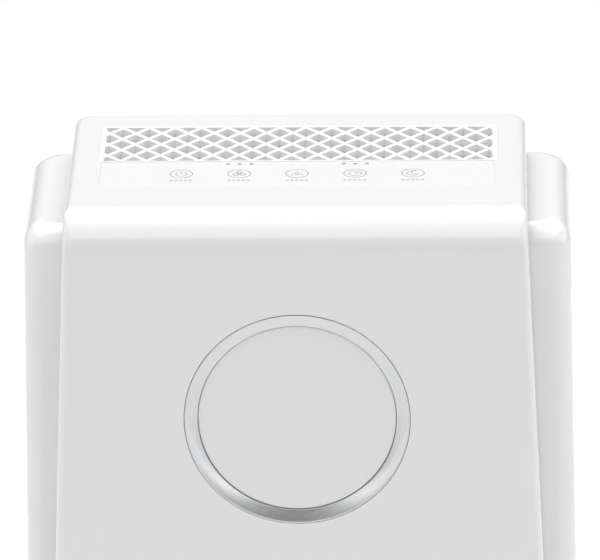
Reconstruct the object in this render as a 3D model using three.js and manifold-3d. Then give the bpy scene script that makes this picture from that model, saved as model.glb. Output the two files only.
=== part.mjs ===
// A free-standing room air purifier. A narrow hood covers the front and the top; a wider housing stands
// behind it. Air enters through a door in the back, passes three filters, is turned upwards by a
// centrifugal fan and leaves through a diamond lattice in the top.
// Millimetres. +X to the right seen from the front, the front faces -Y, +Z up, floor at z = 0.
import * as THREE from 'three';
import { mergeVertices } from 'three/addons/utils/BufferGeometryUtils.js';
import Module from 'manifold-3d';

// ---- driving sizes ------------------------------------------------------------------------------

const BODY_HEIGHT = 475;          // floor to the top of the hood
const BODY_DEPTH = 178;           // hood front to housing back
const HOOD_WIDTH = 276.6;         // at the top
const HOOD_LEAN = 2.45;           // degrees that each side spreads going down
const HOOD_STEP = 25;             // hood top above the housing top
const HOOD_REACH = 47;            // hood front ahead of the housing front
const HOOD_CORNER = 5;            // upright front edges and top side edges
const HOOD_REAR_CORNER = 10;
const HOOD_REAR_EDGE = 3;         // top edge at the back
const HOOD_BROW = 24;             // radius between the top and the front
const WING = 26.7;                // housing beyond the hood on each side, at the housing top
const HOUSING_LEAN = 0.85;        // degrees
const HOUSING_CORNER = 12;
const HOUSING_BROW = 14;
const HOUSING_REAR_EDGE = 4;
const WALL = 3;
const SEAT_GAP = 0.35;            // between pieces that touch

const FOOT_HEIGHT = 5;
const FOOT_RADIUS = 11;
const FOOT_INSET = 22;
const TRAY_THICKNESS = 4;
const TRAY_INSET = 2;
const SCREW_RADIUS = 1.9;
const SCREW_CLEARANCE = 0.4;
const SCREW_BITE = 13;            // length of a base screw inside its post

const LATTICE_COLUMNS = 15;
const LATTICE_ROWS = 3;
const LATTICE_PITCH_X = 16;
const LATTICE_PITCH_Y = 18.6;
const LATTICE_OPEN = 0.76;        // opening's diagonal as a share of the pitch
const LATTICE_MARGIN = 2;         // lattice edge to the first column's centre
const LATTICE_SETBACK = 98;       // hood front to the lattice
const GRILLE_LIP = 1.4;           // grille below the hood's ceiling
const GRILLE_RIM = 3;
const OVERLAY_THICKNESS = 1.2;
const OVERLAY_SETBACK = 55;       // hood front to the overlay
const OVERLAY_CORNER = 6;
const KEY_COUNT = 5;
const KEY_PITCH = 35;
const KEY_SETBACK = 76;
const LAMP_SETBACK = 92;
const LAMP_BAR = 18;              // light guide tip, across one row of lamps
const CONTROL_BOARD_WIDTH = 190;
const CONTROL_BOARD_DROP = 15;    // hood top to the board's upper face

const RING_RADIUS = 68;
const RING_INNER = 59.9;
const RING_RECESS = 2.2;
const RING_THICKNESS = 5.2;
const RING_DROP = 129.5;          // hood top to the ring's centre
const RING_SEAT_WIDTH = 18;

const FILTER_WIDTH = 238;
const FILTER_HEIGHT = 275;
const HEPA_DEPTH = 31;
const CARBON_DEPTH = 10;
const PRE_FILTER_DEPTH = 5;
const SEAL_DEPTH = 3.5;
const PLEATS = 24;
const FILTER_CLEARANCE = 0.8;

const DOOR_DEPTH = 8;
const DOOR_SKIN = 2.5;
const DOOR_GAP = 0.6;
const DOOR_MARGIN = 8.4;          // door edge beyond the filter, at each side
const DOOR_HEAD = 16.5;           // door edge above the filter
const DOOR_SILL = 39;             // door's lowest edge above the floor
const HINGE_RADIUS = 5;           // rounded lower edge of the door
const HINGE_PIN_RADIUS = 2;
const HINGE_PIN_LENGTH = 14;
const SLOT_ROWS = 17;
const SLOT_PITCH = 15;
const SLOT_HEIGHT = 5;
const SLOT_LENGTH = 104;
const NOTCH_WIDTH = 50;           // finger notch above the door
const NOTCH_HEIGHT = 12;
const GRIP_WIDTH = 120;
const GRIP_HEIGHT = 32;
const GRIP_DEPTH = 26;
const GRIP_ABOVE_DOOR = 30;
const MAGNET_RADIUS = 4;
const MAGNET_DEPTH = 3;
const MAGNET_X = 100;

const IMPELLER_RADIUS = 82;
const IMPELLER_DEPTH = 50;
const BLADE_DEPTH = 16;           // across the ring of blades
const BLADES = 24;
const BELL_CLEARANCE = 3.5;       // bell mouth inside the impeller's eye
const TONGUE_GAP = 9;
const TONGUE_ANGLE = 70;          // degrees from +X
const SCROLL_GROWTH = 39;         // radius gained round the scroll
const SCROLL_WALL = 2.5;
const MOTOR_RADIUS = 34;
const MOTOR_LENGTH = 30;
const MOTOR_RIM = 12;             // flange beyond the can
const SHAFT_RADIUS = 4;
const SHAFT_CLEARANCE = 0.35;
const DUCT_WALL = 2;

const INLET_OFFSET = 21.6;        // inlet centre beyond the door's edge
const INLET_HEIGHT = 60;
const POWER_BOARD_WIDTH = 150;
const POWER_BOARD_HEIGHT = 100;
const BOARD_THICKNESS = 1.6;
const PLUG_DROP = 4;              // connector tops below the power board's upper edge
const CABLE_RADIUS = 2;

// ---- places worked out from them ----------------------------------------------------------------

const radians = THREE.MathUtils.degToRad;
const FRONT = -BODY_DEPTH / 2;
const REAR = BODY_DEPTH / 2;
const TRAY_TOP = FOOT_HEIGHT + TRAY_THICKNESS;
const SHELL_BOTTOM = TRAY_TOP + SEAT_GAP;
const HOUSING_TOP = BODY_HEIGHT - HOOD_STEP;
const HOUSING_FRONT = FRONT + HOOD_REACH;
const hoodHalf = (z) => HOOD_WIDTH / 2 + (BODY_HEIGHT - z) * Math.tan(radians(HOOD_LEAN));
const housingHalf = (z) => HOOD_WIDTH / 2 + WING + (HOUSING_TOP - z) * Math.tan(radians(HOUSING_LEAN));

const LATTICE_HALF = ((LATTICE_COLUMNS - 0.5) * LATTICE_PITCH_X) / 2 + LATTICE_MARGIN;
const LATTICE_FRONT = FRONT + LATTICE_SETBACK;
const LATTICE_REAR = LATTICE_FRONT + LATTICE_ROWS * LATTICE_PITCH_Y;
const GRILLE_FRONT = LATTICE_FRONT - GRILLE_RIM / 2;
const GRILLE_REAR = LATTICE_REAR + GRILLE_RIM;
const GRILLE_HALF = LATTICE_HALF + GRILLE_RIM;
const OVERLAY_FRONT = FRONT + OVERLAY_SETBACK;
const OVERLAY_REAR = GRILLE_FRONT - SEAT_GAP;
const POCKET_FLOOR = BODY_HEIGHT - OVERLAY_THICKNESS - SEAT_GAP;
const HOOD_CEILING = BODY_HEIGHT - WALL;
const GRILLE_BOTTOM = HOOD_CEILING - GRILLE_LIP;
const KEY_Y = FRONT + KEY_SETBACK;
const LAMP_Y = FRONT + LAMP_SETBACK;
const BOARD_TOP = BODY_HEIGHT - CONTROL_BOARD_DROP;
const RING_Z = BODY_HEIGHT - RING_DROP;

const HINGE_Y = REAR - HINGE_RADIUS;
const HINGE_Z = DOOR_SILL + HINGE_RADIUS;
const FILTER_BOTTOM = HINGE_Z + HINGE_RADIUS + PRE_FILTER_DEPTH;
const FILTER_TOP = FILTER_BOTTOM + FILTER_HEIGHT;
const FILTER_CENTRE = (FILTER_BOTTOM + FILTER_TOP) / 2;
const FILTER_HALF = FILTER_WIDTH / 2;
const DOOR_HALF = FILTER_HALF + DOOR_MARGIN;
const DOOR_TOP = FILTER_TOP + DOOR_HEAD;
const DOOR_INNER = REAR - DOOR_DEPTH;
const PRE_FILTER_REAR = DOOR_INNER - SEAT_GAP;
const BAY_REAR = PRE_FILTER_REAR - PRE_FILTER_DEPTH - 1.5;
const CARBON_REAR = BAY_REAR - SEAT_GAP;
const HEPA_REAR = CARBON_REAR - CARBON_DEPTH - SEAT_GAP;
const SEAL_REAR = HEPA_REAR - HEPA_DEPTH - SEAT_GAP;
const BAY_FLOOR = SEAL_REAR - SEAL_DEPTH - SEAT_GAP;
const BAY_FRONT = BAY_FLOOR - WALL;
const BAY_HALF = FILTER_HALF + FILTER_CLEARANCE;
const BAY_BOTTOM = FILTER_BOTTOM - FILTER_CLEARANCE;
const BAY_TOP = FILTER_TOP + FILTER_CLEARANCE;
const FLANGE_HALF = DOOR_HALF + DOOR_GAP + 2 * WALL;
const FLANGE_TOP = DOOR_TOP + 2 * WALL;
const MAGNET_Z = DOOR_TOP - MAGNET_RADIUS - 1.5;

const POST_TOP = SHELL_BOTTOM + SCREW_BITE + 7;
const BOARD_HEADROOM = POST_TOP + POWER_BOARD_HEIGHT + MOTOR_RADIUS + MOTOR_RIM + 8;
const FAN_Z = Math.max(FILTER_CENTRE, BOARD_HEADROOM);
const IMPELLER_EYE = IMPELLER_RADIUS - BLADE_DEPTH;
const BELL_RADIUS = IMPELLER_EYE - BELL_CLEARANCE - SCROLL_WALL;
const BELL_LENGTH = 10;
const IMPELLER_REAR = BAY_FRONT - BELL_LENGTH + 2;
const IMPELLER_FRONT = IMPELLER_REAR - IMPELLER_DEPTH;
const SCROLL_REAR = BAY_FRONT - SEAT_GAP;
const SCROLL_INNER_FRONT = IMPELLER_FRONT - 5;
const SCROLL_FRONT = SCROLL_INNER_FRONT - SCROLL_WALL;
const SCROLL_RADIUS = IMPELLER_RADIUS + TONGUE_GAP;
const OUTLET_RIGHT = SCROLL_RADIUS + SCROLL_GROWTH;
const OUTLET_LEFT = SCROLL_RADIUS * Math.cos(radians(TONGUE_ANGLE));
const OUTLET_TOP = FLANGE_TOP;
const BAY_PLATE_HALF = Math.max(FLANGE_HALF, OUTLET_RIGHT + SCROLL_WALL + 1.5);
const MOTOR_REAR = SCROLL_FRONT - SEAT_GAP;
const MOTOR_FLANGE = 3;
const MOTOR_FRONT = MOTOR_REAR - MOTOR_FLANGE - MOTOR_LENGTH;
const MOTOR_SCREW_CIRCLE = MOTOR_RADIUS + MOTOR_RIM / 2;
const HUB_RADIUS = 12;
const HUB_LENGTH = 23;
const DUCT_BOTTOM = OUTLET_TOP + SEAT_GAP;
const DUCT_KNEE = HOUSING_TOP - 4;
const DUCT_TOP = GRILLE_BOTTOM - SEAT_GAP;
const GRIP_BOTTOM = DOOR_TOP + GRIP_ABOVE_DOOR;
const INLET_X = DOOR_HALF + INLET_OFFSET;
const BOARD_Y = HOUSING_FRONT - 18;
const LEAD_PASS = POWER_BOARD_WIDTH / 2 + 50;
const WINDOW_HALF = Math.max(OUTLET_RIGHT + SCROLL_WALL + 2, LEAD_PASS);

// ---- solids -------------------------------------------------------------------------------------

const wasm = await Module();
wasm.setup();

function signedVolume(position, triangles) {
  const a = new THREE.Vector3();
  const b = new THREE.Vector3();
  const c = new THREE.Vector3();
  let volume = 0;
  for (let i = 0; i < triangles.length; i += 3) {
    a.fromBufferAttribute(position, triangles[i]);
    b.fromBufferAttribute(position, triangles[i + 1]);
    c.fromBufferAttribute(position, triangles[i + 2]);
    volume += a.dot(b.cross(c));
  }
  return volume;
}

// A closed geometry as a solid, with its faces turned outwards.
function solid(geometry) {
  const bare = geometry.clone();
  bare.deleteAttribute('normal');
  bare.deleteAttribute('uv');
  const merged = mergeVertices(bare, 1e-4);
  const triangles = [];
  const index = merged.index.array;
  for (let i = 0; i < index.length; i += 3) {
    const [a, b, c] = [index[i], index[i + 1], index[i + 2]];
    if (a !== b && b !== c && c !== a) triangles.push(a, b, c);
  }
  if (signedVolume(merged.attributes.position, triangles) < 0) triangles.reverse();
  const vertProperties = Float32Array.from(merged.attributes.position.array);
  const triVerts = Uint32Array.from(triangles);
  return new wasm.Manifold(new wasm.Mesh({ numProp: 3, vertProperties, triVerts }));
}

function geometryOf(shape) {
  const { vertProperties, triVerts, numProp } = shape.getMesh();
  const geometry = new THREE.BufferGeometry();
  const positions = new Float32Array((vertProperties.length / numProp) * 3);
  for (let v = 0; v < positions.length / 3; v += 1) {
    for (let k = 0; k < 3; k += 1) positions[3 * v + k] = vertProperties[numProp * v + k];
  }
  geometry.setAttribute('position', new THREE.BufferAttribute(positions, 3));
  geometry.setIndex(new THREE.BufferAttribute(Uint32Array.from(triVerts), 1));
  geometry.computeVertexNormals();
  return geometry;
}

const union = (...shapes) => shapes.reduce((whole, shape) => whole.add(shape));
const cut = (whole, ...shapes) => shapes.reduce((rest, shape) => rest.subtract(shape), whole);

function box([x0, x1], [y0, y1], [z0, z1]) {
  const block = new THREE.BoxGeometry(x1 - x0, y1 - y0, z1 - z0);
  return solid(block.translate((x0 + x1) / 2, (y0 + y1) / 2, (z0 + z1) / 2));
}

// Cylinders along X, Y and Z, each from one end to the other.
function rodX(radius, [x0, x1], y, z, sides = 16) {
  const rod = new THREE.CylinderGeometry(radius, radius, x1 - x0, sides).rotateZ(Math.PI / 2);
  return solid(rod.translate((x0 + x1) / 2, y, z));
}

function rodY(radius, x, [y0, y1], z, sides = 16) {
  const rod = new THREE.CylinderGeometry(radius, radius, y1 - y0, sides);
  return solid(rod.translate(x, (y0 + y1) / 2, z));
}

function rodZ(radius, x, y, [z0, z1], sides = 16) {
  const rod = new THREE.CylinderGeometry(radius, radius, z1 - z0, sides).rotateX(Math.PI / 2);
  return solid(rod.translate(x, y, (z0 + z1) / 2));
}

// An outline in the plane across an axis, drawn out along that axis.
const SPREAD = {
  x: [new THREE.Vector3(0, 1, 0), new THREE.Vector3(0, 0, 1), new THREE.Vector3(1, 0, 0)],
  y: [new THREE.Vector3(1, 0, 0), new THREE.Vector3(0, 0, 1), new THREE.Vector3(0, 1, 0)],
  z: [new THREE.Vector3(1, 0, 0), new THREE.Vector3(0, 1, 0), new THREE.Vector3(0, 0, 1)],
};

function prism(axis, outline, [from, to]) {
  const options = { depth: to - from, bevelEnabled: false, curveSegments: 4 };
  const drawn = new THREE.ExtrudeGeometry(outline, options).translate(0, 0, from);
  return solid(drawn.applyMatrix4(new THREE.Matrix4().makeBasis(...SPREAD[axis])));
}

function roundedRectangle([x0, x1], [y0, y1], radius) {
  const shape = new THREE.Shape();
  const turn = Math.PI / 2;
  shape.absarc(x1 - radius, y1 - radius, radius, 0, turn);
  shape.absarc(x0 + radius, y1 - radius, radius, turn, 2 * turn);
  shape.absarc(x0 + radius, y0 + radius, radius, 2 * turn, 3 * turn);
  shape.absarc(x1 - radius, y0 + radius, radius, 3 * turn, 4 * turn);
  return shape;
}

// A skin over convex rings of equal length, with a flat face at each end.
function loft(rings) {
  const count = rings[0].length;
  const index = [];
  for (let level = 0; level + 1 < rings.length; level += 1) {
    for (let i = 0; i < count; i += 1) {
      const a = level * count + i;
      const b = level * count + ((i + 1) % count);
      index.push(a, b, b + count, a, b + count, a + count);
    }
  }
  const top = (rings.length - 1) * count;
  for (let i = 1; i + 1 < count; i += 1) {
    index.push(0, i + 1, i, top, top + i, top + i + 1);
  }
  const geometry = new THREE.BufferGeometry().setFromPoints(rings.flat());
  geometry.setIndex(index);
  return solid(geometry);
}

function planRing(z, half, front, rear, frontRadius, rearRadius) {
  const corners = [
    [half - rearRadius, rear - rearRadius, rearRadius, 0],
    [rearRadius - half, rear - rearRadius, rearRadius, 90],
    [frontRadius - half, front + frontRadius, frontRadius, 180],
    [half - frontRadius, front + frontRadius, frontRadius, 270],
  ];
  const steps = 3;
  return corners.flatMap(([x, y, radius, start]) =>
    Array.from({ length: steps + 1 }, (_, i) => {
      const angle = radians(start + (90 * i) / steps);
      return new THREE.Vector3(x + radius * Math.cos(angle), y + radius * Math.sin(angle), z);
    }));
}

// How far a rounded top edge has drawn in at a depth below the top face.
function edgeInset(radius, depth) {
  return depth >= radius ? 0 : radius - Math.sqrt(radius ** 2 - (radius - depth) ** 2);
}

// A block with spreading sides, rounded upright corners and a rounded top.
function roundedBlock({ bottom, top, halfAt, front, rear, corners, edges, inset = 0 }) {
  const thinnest = 0.8;
  const lid = top - inset;
  const shrink = (radius) => Math.max(radius - inset, thinnest);
  const [frontEdge, sideEdge, rearEdge] = edges.map(shrink);
  const [frontCorner, rearCorner] = corners.map(shrink);
  const depths = new Set([0]);
  const steps = [[frontEdge, 5], [sideEdge, 2], [rearEdge, 2]];
  for (const [radius, count] of steps) {
    for (let i = 0; i < count; i += 1) {
      depths.add(radius * (1 - Math.sin((Math.PI / 2) * (i / count))));
    }
  }
  const levels = [...depths].sort((a, b) => b - a).map((depth) => lid - depth);
  const rings = [bottom, ...levels].map((z) => planRing(
    z,
    halfAt(z) - inset - edgeInset(sideEdge, lid - z),
    front + inset + edgeInset(frontEdge, lid - z),
    rear - inset - edgeInset(rearEdge, lid - z),
    frontCorner,
    rearCorner,
  ));
  return loft(rings);
}

// ---- the assembly -------------------------------------------------------------------------------

const purifier = new THREE.Group();

const FINISHES = {
  shell: { color: 0xf4f4f4, roughness: 0.22, metalness: 0 },
  insert: { color: 0xf6f6f6, roughness: 0.3, metalness: 0 },
  aluminium: { color: 0xc8cacc, roughness: 0.3, metalness: 1 },
  inner: { color: 0xd6d8da, roughness: 0.6, metalness: 0 },
  rubber: { color: 0x2a2a2c, roughness: 0.8, metalness: 0 },
  steel: { color: 0xa8abb0, roughness: 0.35, metalness: 1 },
  board: { color: 0x1f5c3a, roughness: 0.5, metalness: 0 },
  black: { color: 0x1c1c1e, roughness: 0.5, metalness: 0 },
  carbon: { color: 0x2b2c2d, roughness: 0.9, metalness: 0 },
  paper: { color: 0xf1f0ea, roughness: 0.9, metalness: 0 },
  clear: { color: 0xe8eef2, roughness: 0.1, metalness: 0 },
  wire: { color: 0x303236, roughness: 0.6, metalness: 0 },
};

function place(name, shape, finish) {
  const mesh = new THREE.Mesh(geometryOf(shape), new THREE.MeshStandardMaterial(FINISHES[finish]));
  mesh.name = name;
  purifier.add(mesh);
}

const span = (centre, half) => [centre - half, centre + half];
const across = (half) => span(0, half);

// ---- casing -------------------------------------------------------------------------------------

const POST_X = housingHalf(SHELL_BOTTOM) - WALL - 9;
const POST_SPOTS = [-1, 1].flatMap((side) => (
  [HOUSING_FRONT + 20, REAR - 16].map((y) => [side * POST_X, y])));
const KEY_SPOTS = Array.from({ length: KEY_COUNT }, (_, i) => (i - (KEY_COUNT - 1) / 2) * KEY_PITCH);
const LAMP_SPOTS = [KEY_SPOTS[1], KEY_SPOTS[KEY_COUNT - 2]];

const hoodForm = {
  top: BODY_HEIGHT,
  halfAt: hoodHalf,
  front: FRONT,
  rear: REAR,
  corners: [HOOD_CORNER, HOOD_REAR_CORNER],
  edges: [HOOD_BROW, HOOD_CORNER, HOOD_REAR_EDGE],
};

function frontHood() {
  const outside = roundedBlock({ ...hoodForm, bottom: SHELL_BOTTOM });
  const inside = roundedBlock({ ...hoodForm, bottom: SHELL_BOTTOM - WALL, inset: WALL });
  const far = 2 * BODY_HEIGHT;
  const behind = box([-far, far], [HOUSING_FRONT - SEAT_GAP, far], [0, HOUSING_TOP + SEAT_GAP]);
  const seatDepth = RING_THICKNESS + SEAT_GAP;
  const cup = rodY(RING_RADIUS + WALL, 0, [FRONT + 1, FRONT + seatDepth + 2], RING_Z, 48);
  const postTop = HOOD_CEILING + 1;
  const posts = [-1, 1].flatMap((side) => [OVERLAY_FRONT + 2, LAMP_Y - 2].map((y) => box(
    span(side * (CONTROL_BOARD_WIDTH / 2 - 5), 3), span(y, 2), [BOARD_TOP + SEAT_GAP, postTop])));
  const shell = union(cut(outside, behind, inside), cup, ...posts);
  const lattice = box(across(GRILLE_HALF + SEAT_GAP), [OVERLAY_REAR, GRILLE_REAR + SEAT_GAP],
    [HOOD_CEILING - 1, BODY_HEIGHT + 1]);
  const pocket = prism('z', overlayOutline(SEAT_GAP), [POCKET_FLOOR, BODY_HEIGHT + 1]);
  const lampSlots = LAMP_SPOTS.map((x) => box(span(x, LAMP_BAR / 2 + SEAT_GAP), span(LAMP_Y, 2),
    [HOOD_CEILING - 1, BODY_HEIGHT]));
  const ringSeat = rodY(RING_RADIUS + SEAT_GAP, 0, [FRONT - 1, FRONT + seatDepth], RING_Z, 48);
  const ringBack = rodY(RING_RADIUS - RING_SEAT_WIDTH, 0, [FRONT - 1, FRONT + seatDepth + 3], RING_Z, 32);
  return cut(shell, lattice, pocket, ...lampSlots, ringSeat, ringBack);
}

function overlayOutline(grow) {
  const half = LATTICE_HALF + 1 + grow;
  const front = OVERLAY_FRONT - grow;
  const rear = OVERLAY_REAR + grow;
  const shape = new THREE.Shape();
  shape.moveTo(half, rear);
  shape.lineTo(-half, rear);
  shape.absarc(OVERLAY_CORNER - half, front + OVERLAY_CORNER, OVERLAY_CORNER, Math.PI, Math.PI * 1.5);
  shape.absarc(half - OVERLAY_CORNER, front + OVERLAY_CORNER, OVERLAY_CORNER, Math.PI * 1.5, Math.PI * 2);
  return shape;
}

function rearHousing() {
  const form = {
    top: HOUSING_TOP,
    halfAt: housingHalf,
    front: HOUSING_FRONT,
    rear: REAR,
    corners: [HOUSING_CORNER, HOUSING_CORNER],
    edges: [HOUSING_BROW, HOUSING_CORNER, HOUSING_REAR_EDGE],
  };
  const outside = roundedBlock({ ...form, bottom: SHELL_BOTTOM });
  const inside = roundedBlock({ ...form, bottom: SHELL_BOTTOM - WALL, inset: WALL });
  const skin = REAR - WALL;
  const jambHalf = DOOR_HALF + DOOR_GAP;
  const jambBottom = DOOR_SILL - DOOR_GAP;
  const jambTop = DOOR_TOP + DOOR_GAP;
  const jambFront = BAY_REAR + SEAT_GAP;
  const notchTop = jambTop + NOTCH_HEIGHT;
  const gripTop = GRIP_BOTTOM + GRIP_HEIGHT;
  const jamb = box(across(jambHalf + WALL), [jambFront, skin + 1], [jambBottom - WALL, jambTop + WALL]);
  const notchBlock = box(across(NOTCH_WIDTH / 2 + WALL), [jambFront, skin + 1], [jambTop, notchTop + WALL]);
  const gripBlock = box(across(GRIP_WIDTH / 2 + WALL), [REAR - GRIP_DEPTH - WALL, skin + 1],
    [GRIP_BOTTOM - WALL, gripTop + WALL]);
  const posts = POST_SPOTS.map(([x, y]) => box(
    x < 0 ? [1 - housingHalf(POST_TOP), x + 6] : [x - 6, housingHalf(POST_TOP) - 1],
    span(y, 6), [SHELL_BOTTOM, POST_TOP]));
  const hingeBosses = [-1, 1].map((side) => box(
    span(side * (jambHalf + 6), 6), [HINGE_Y - HINGE_RADIUS, skin + 1], span(HINGE_Z, HINGE_RADIUS)));
  const body = union(cut(outside, inside), jamb, notchBlock, gripBlock, ...posts, ...hingeBosses);

  const ductGap = 3.5;
  const frontWindow = box(across(WINDOW_HALF),
    [HOUSING_FRONT - 1, HOUSING_FRONT + WALL + 1], [POST_TOP, HOUSING_TOP - 20]);
  const ductWindow = box(across(LATTICE_HALF + DUCT_WALL + ductGap),
    [LATTICE_FRONT - DUCT_WALL - ductGap, LATTICE_REAR + DUCT_WALL + ductGap],
    [HOUSING_TOP - 10, HOUSING_TOP + 1]);
  const doorway = box(across(jambHalf), [jambFront - 1, REAR + 1], [jambBottom, jambTop]);
  const notch = box(across(NOTCH_WIDTH / 2), [jambFront + 2, REAR + 1], [jambTop - 1, notchTop]);
  const grip = box(across(GRIP_WIDTH / 2), [REAR - GRIP_DEPTH, REAR + 1], [GRIP_BOTTOM, gripTop]);
  const inletHole = box(span(INLET_X, INLET.half + SEAT_GAP), [skin - 1, REAR + 1],
    span(INLET_HEIGHT, INLET.rise + SEAT_GAP));
  const inletRecess = box(span(INLET_X, INLET.flangeHalf + SEAT_GAP),
    [REAR - INLET.flangeDepth - SEAT_GAP, REAR + 1], span(INLET_HEIGHT, INLET.flangeRise + SEAT_GAP));
  const hole = SCREW_RADIUS + SCREW_CLEARANCE;
  const screwHoles = POST_SPOTS.map(([x, y]) => rodZ(hole, x, y, [0, SHELL_BOTTOM + SCREW_BITE + 1], 12));
  const pinHoles = [-1, 1].map((side) => rodX(HINGE_PIN_RADIUS + SEAT_GAP,
    span(side * (jambHalf + 4), 4.5), HINGE_Y, HINGE_Z, 12));
  return cut(body, frontWindow, ductWindow, doorway, notch, grip, inletHole, inletRecess,
    ...screwHoles, ...pinHoles);
}

function baseTray() {
  const height = [FOOT_HEIGHT, TRAY_TOP];
  const hoodFoot = hoodHalf(SHELL_BOTTOM) - TRAY_INSET;
  const housingFoot = housingHalf(SHELL_BOTTOM) - TRAY_INSET;
  const frontPlate = prism('z', roundedRectangle(across(hoodFoot),
    [FRONT + TRAY_INSET, HOUSING_FRONT + 30], HOOD_CORNER), height);
  const rearPlate = prism('z', roundedRectangle(across(housingFoot),
    [HOUSING_FRONT + TRAY_INSET, REAR - TRAY_INSET], HOUSING_CORNER), height);
  const boardPosts = [-1, 1].map((side) => box(span(side * 60, 4),
    [BOARD_Y + BOARD_THICKNESS + SEAT_GAP, BOARD_Y + 6], [TRAY_TOP - 1, TRAY_TOP + 50]));
  const holes = POST_SPOTS.map(([x, y]) => rodZ(SCREW_RADIUS + SCREW_CLEARANCE, x, y,
    [FOOT_HEIGHT - 1, TRAY_TOP + 1], 12));
  return cut(union(frontPlate, rearPlate, ...boardPosts), ...holes);
}

function feet() {
  const x = hoodHalf(SHELL_BOTTOM) - FOOT_INSET;
  const spots = [FRONT + FOOT_INSET, REAR - FOOT_INSET].flatMap((y) => [[-x, y], [x, y]]);
  spots.forEach(([footX, footY], i) => {
    place(`foot_${i + 1}`, rodZ(FOOT_RADIUS, footX, footY, [0, FOOT_HEIGHT - SEAT_GAP], 24), 'rubber');
  });
}

function baseScrews() {
  POST_SPOTS.forEach(([x, y], i) => {
    const under = FOOT_HEIGHT - SEAT_GAP;
    const head = rodZ(2 * SCREW_RADIUS, x, y, [under - 2.2, under], 12);
    const shank = rodZ(SCREW_RADIUS, x, y, [under - 0.2, SHELL_BOTTOM + SCREW_BITE], 12);
    place(`base_screw_${i + 1}`, union(head, shank), 'steel');
  });
}

// ---- lattice, touch overlay and ring ------------------------------------------------------------

// The part of a convex outline on the kept side of one straight edge.
function clip(points, inside, cross) {
  return points.flatMap((point, i) => {
    const next = points[(i + 1) % points.length];
    const kept = inside(point) ? [point] : [];
    return inside(point) === inside(next) ? kept : [...kept, cross(point, next)];
  });
}

function clipToRectangle(points, half, front, rear) {
  const atX = (x) => (p, q) => new THREE.Vector2(x, p.y + ((q.y - p.y) * (x - p.x)) / (q.x - p.x));
  const atY = (y) => (p, q) => new THREE.Vector2(p.x + ((q.x - p.x) * (y - p.y)) / (q.y - p.y), y);
  const left = clip(points, (p) => p.x > -half, atX(-half));
  const right = clip(left, (p) => p.x < half, atX(half));
  const low = clip(right, (p) => p.y > front, atY(front));
  return clip(low, (p) => p.y < rear, atY(rear));
}

function latticeHoles() {
  const reachX = (LATTICE_OPEN * LATTICE_PITCH_X) / 2;
  const reachY = (LATTICE_OPEN * LATTICE_PITCH_Y) / 2;
  const holes = [];
  for (let row = 0; row <= 2 * LATTICE_ROWS; row += 1) {
    const y = LATTICE_REAR - (row * LATTICE_PITCH_Y) / 2;
    const shift = row % 2 === 0 ? 0 : LATTICE_PITCH_X / 2;
    for (let column = 0; column < LATTICE_COLUMNS; column += 1) {
      const x = -LATTICE_HALF + LATTICE_MARGIN + shift + column * LATTICE_PITCH_X;
      const diamond = [
        new THREE.Vector2(x + reachX, y),
        new THREE.Vector2(x, y + reachY),
        new THREE.Vector2(x - reachX, y),
        new THREE.Vector2(x, y - reachY),
      ];
      holes.push(clipToRectangle(diamond, LATTICE_HALF, LATTICE_FRONT, LATTICE_REAR));
    }
  }
  return holes;
}

function outletGrille() {
  const plate = roundedRectangle(across(GRILLE_HALF), [GRILLE_FRONT, GRILLE_REAR], 1);
  const holes = latticeHoles().map((points) => prism('z', new THREE.Shape(points),
    [GRILLE_BOTTOM - 1, BODY_HEIGHT + 1]));
  return cut(prism('z', plate, [GRILLE_BOTTOM, BODY_HEIGHT]), ...holes);
}

// A ring about an axis along Y, from pairs of radius and depth behind the hood's front.
function turnedRing(profile, segments) {
  const points = profile.map(([radius, depth]) => new THREE.Vector2(radius, FRONT + depth));
  return solid(new THREE.LatheGeometry([...points, points[0]], segments).translate(0, 0, RING_Z));
}

function ringBezel() {
  return turnedRing([[RING_RADIUS, 0], [RING_INNER, RING_RECESS], [RING_INNER, RING_THICKNESS],
    [RING_RADIUS, RING_THICKNESS]], 48);
}

function frontDisc() {
  const radius = RING_INNER - SEAT_GAP;
  return rodY(radius, 0, [FRONT + RING_RECESS + 0.2, FRONT + RING_THICKNESS], RING_Z, 48);
}

function controlParts() {
  const boardRear = LATTICE_FRONT - DUCT_WALL - 1.5;
  const overlay = prism('z', overlayOutline(0), [BODY_HEIGHT - OVERLAY_THICKNESS, BODY_HEIGHT]);
  place('touch_overlay', overlay, 'insert');
  place('control_board', box(across(CONTROL_BOARD_WIDTH / 2), [OVERLAY_FRONT - 2, boardRear],
    [BOARD_TOP - BOARD_THICKNESS, BOARD_TOP]), 'board');
  KEY_SPOTS.forEach((x, i) => {
    const spring = rodZ(5, x, KEY_Y, [BOARD_TOP + SEAT_GAP, HOOD_CEILING - SEAT_GAP], 12);
    place(`touch_spring_${i + 1}`, spring, 'steel');
  });
  const [leftLamps, rightLamps] = LAMP_SPOTS;
  const bar = box([leftLamps - LAMP_BAR / 2, rightLamps + LAMP_BAR / 2], span(LAMP_Y, 1.6),
    [BOARD_TOP + SEAT_GAP, HOOD_CEILING - 1]);
  const tips = LAMP_SPOTS.map((x) => box(span(x, LAMP_BAR / 2), span(LAMP_Y, 1.6),
    [HOOD_CEILING - 2, POCKET_FLOOR]));
  place('light_guide', union(bar, ...tips), 'clear');
}

// ---- filters and door ---------------------------------------------------------------------------

const filterHeight = [FILTER_BOTTOM, FILTER_TOP];

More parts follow.
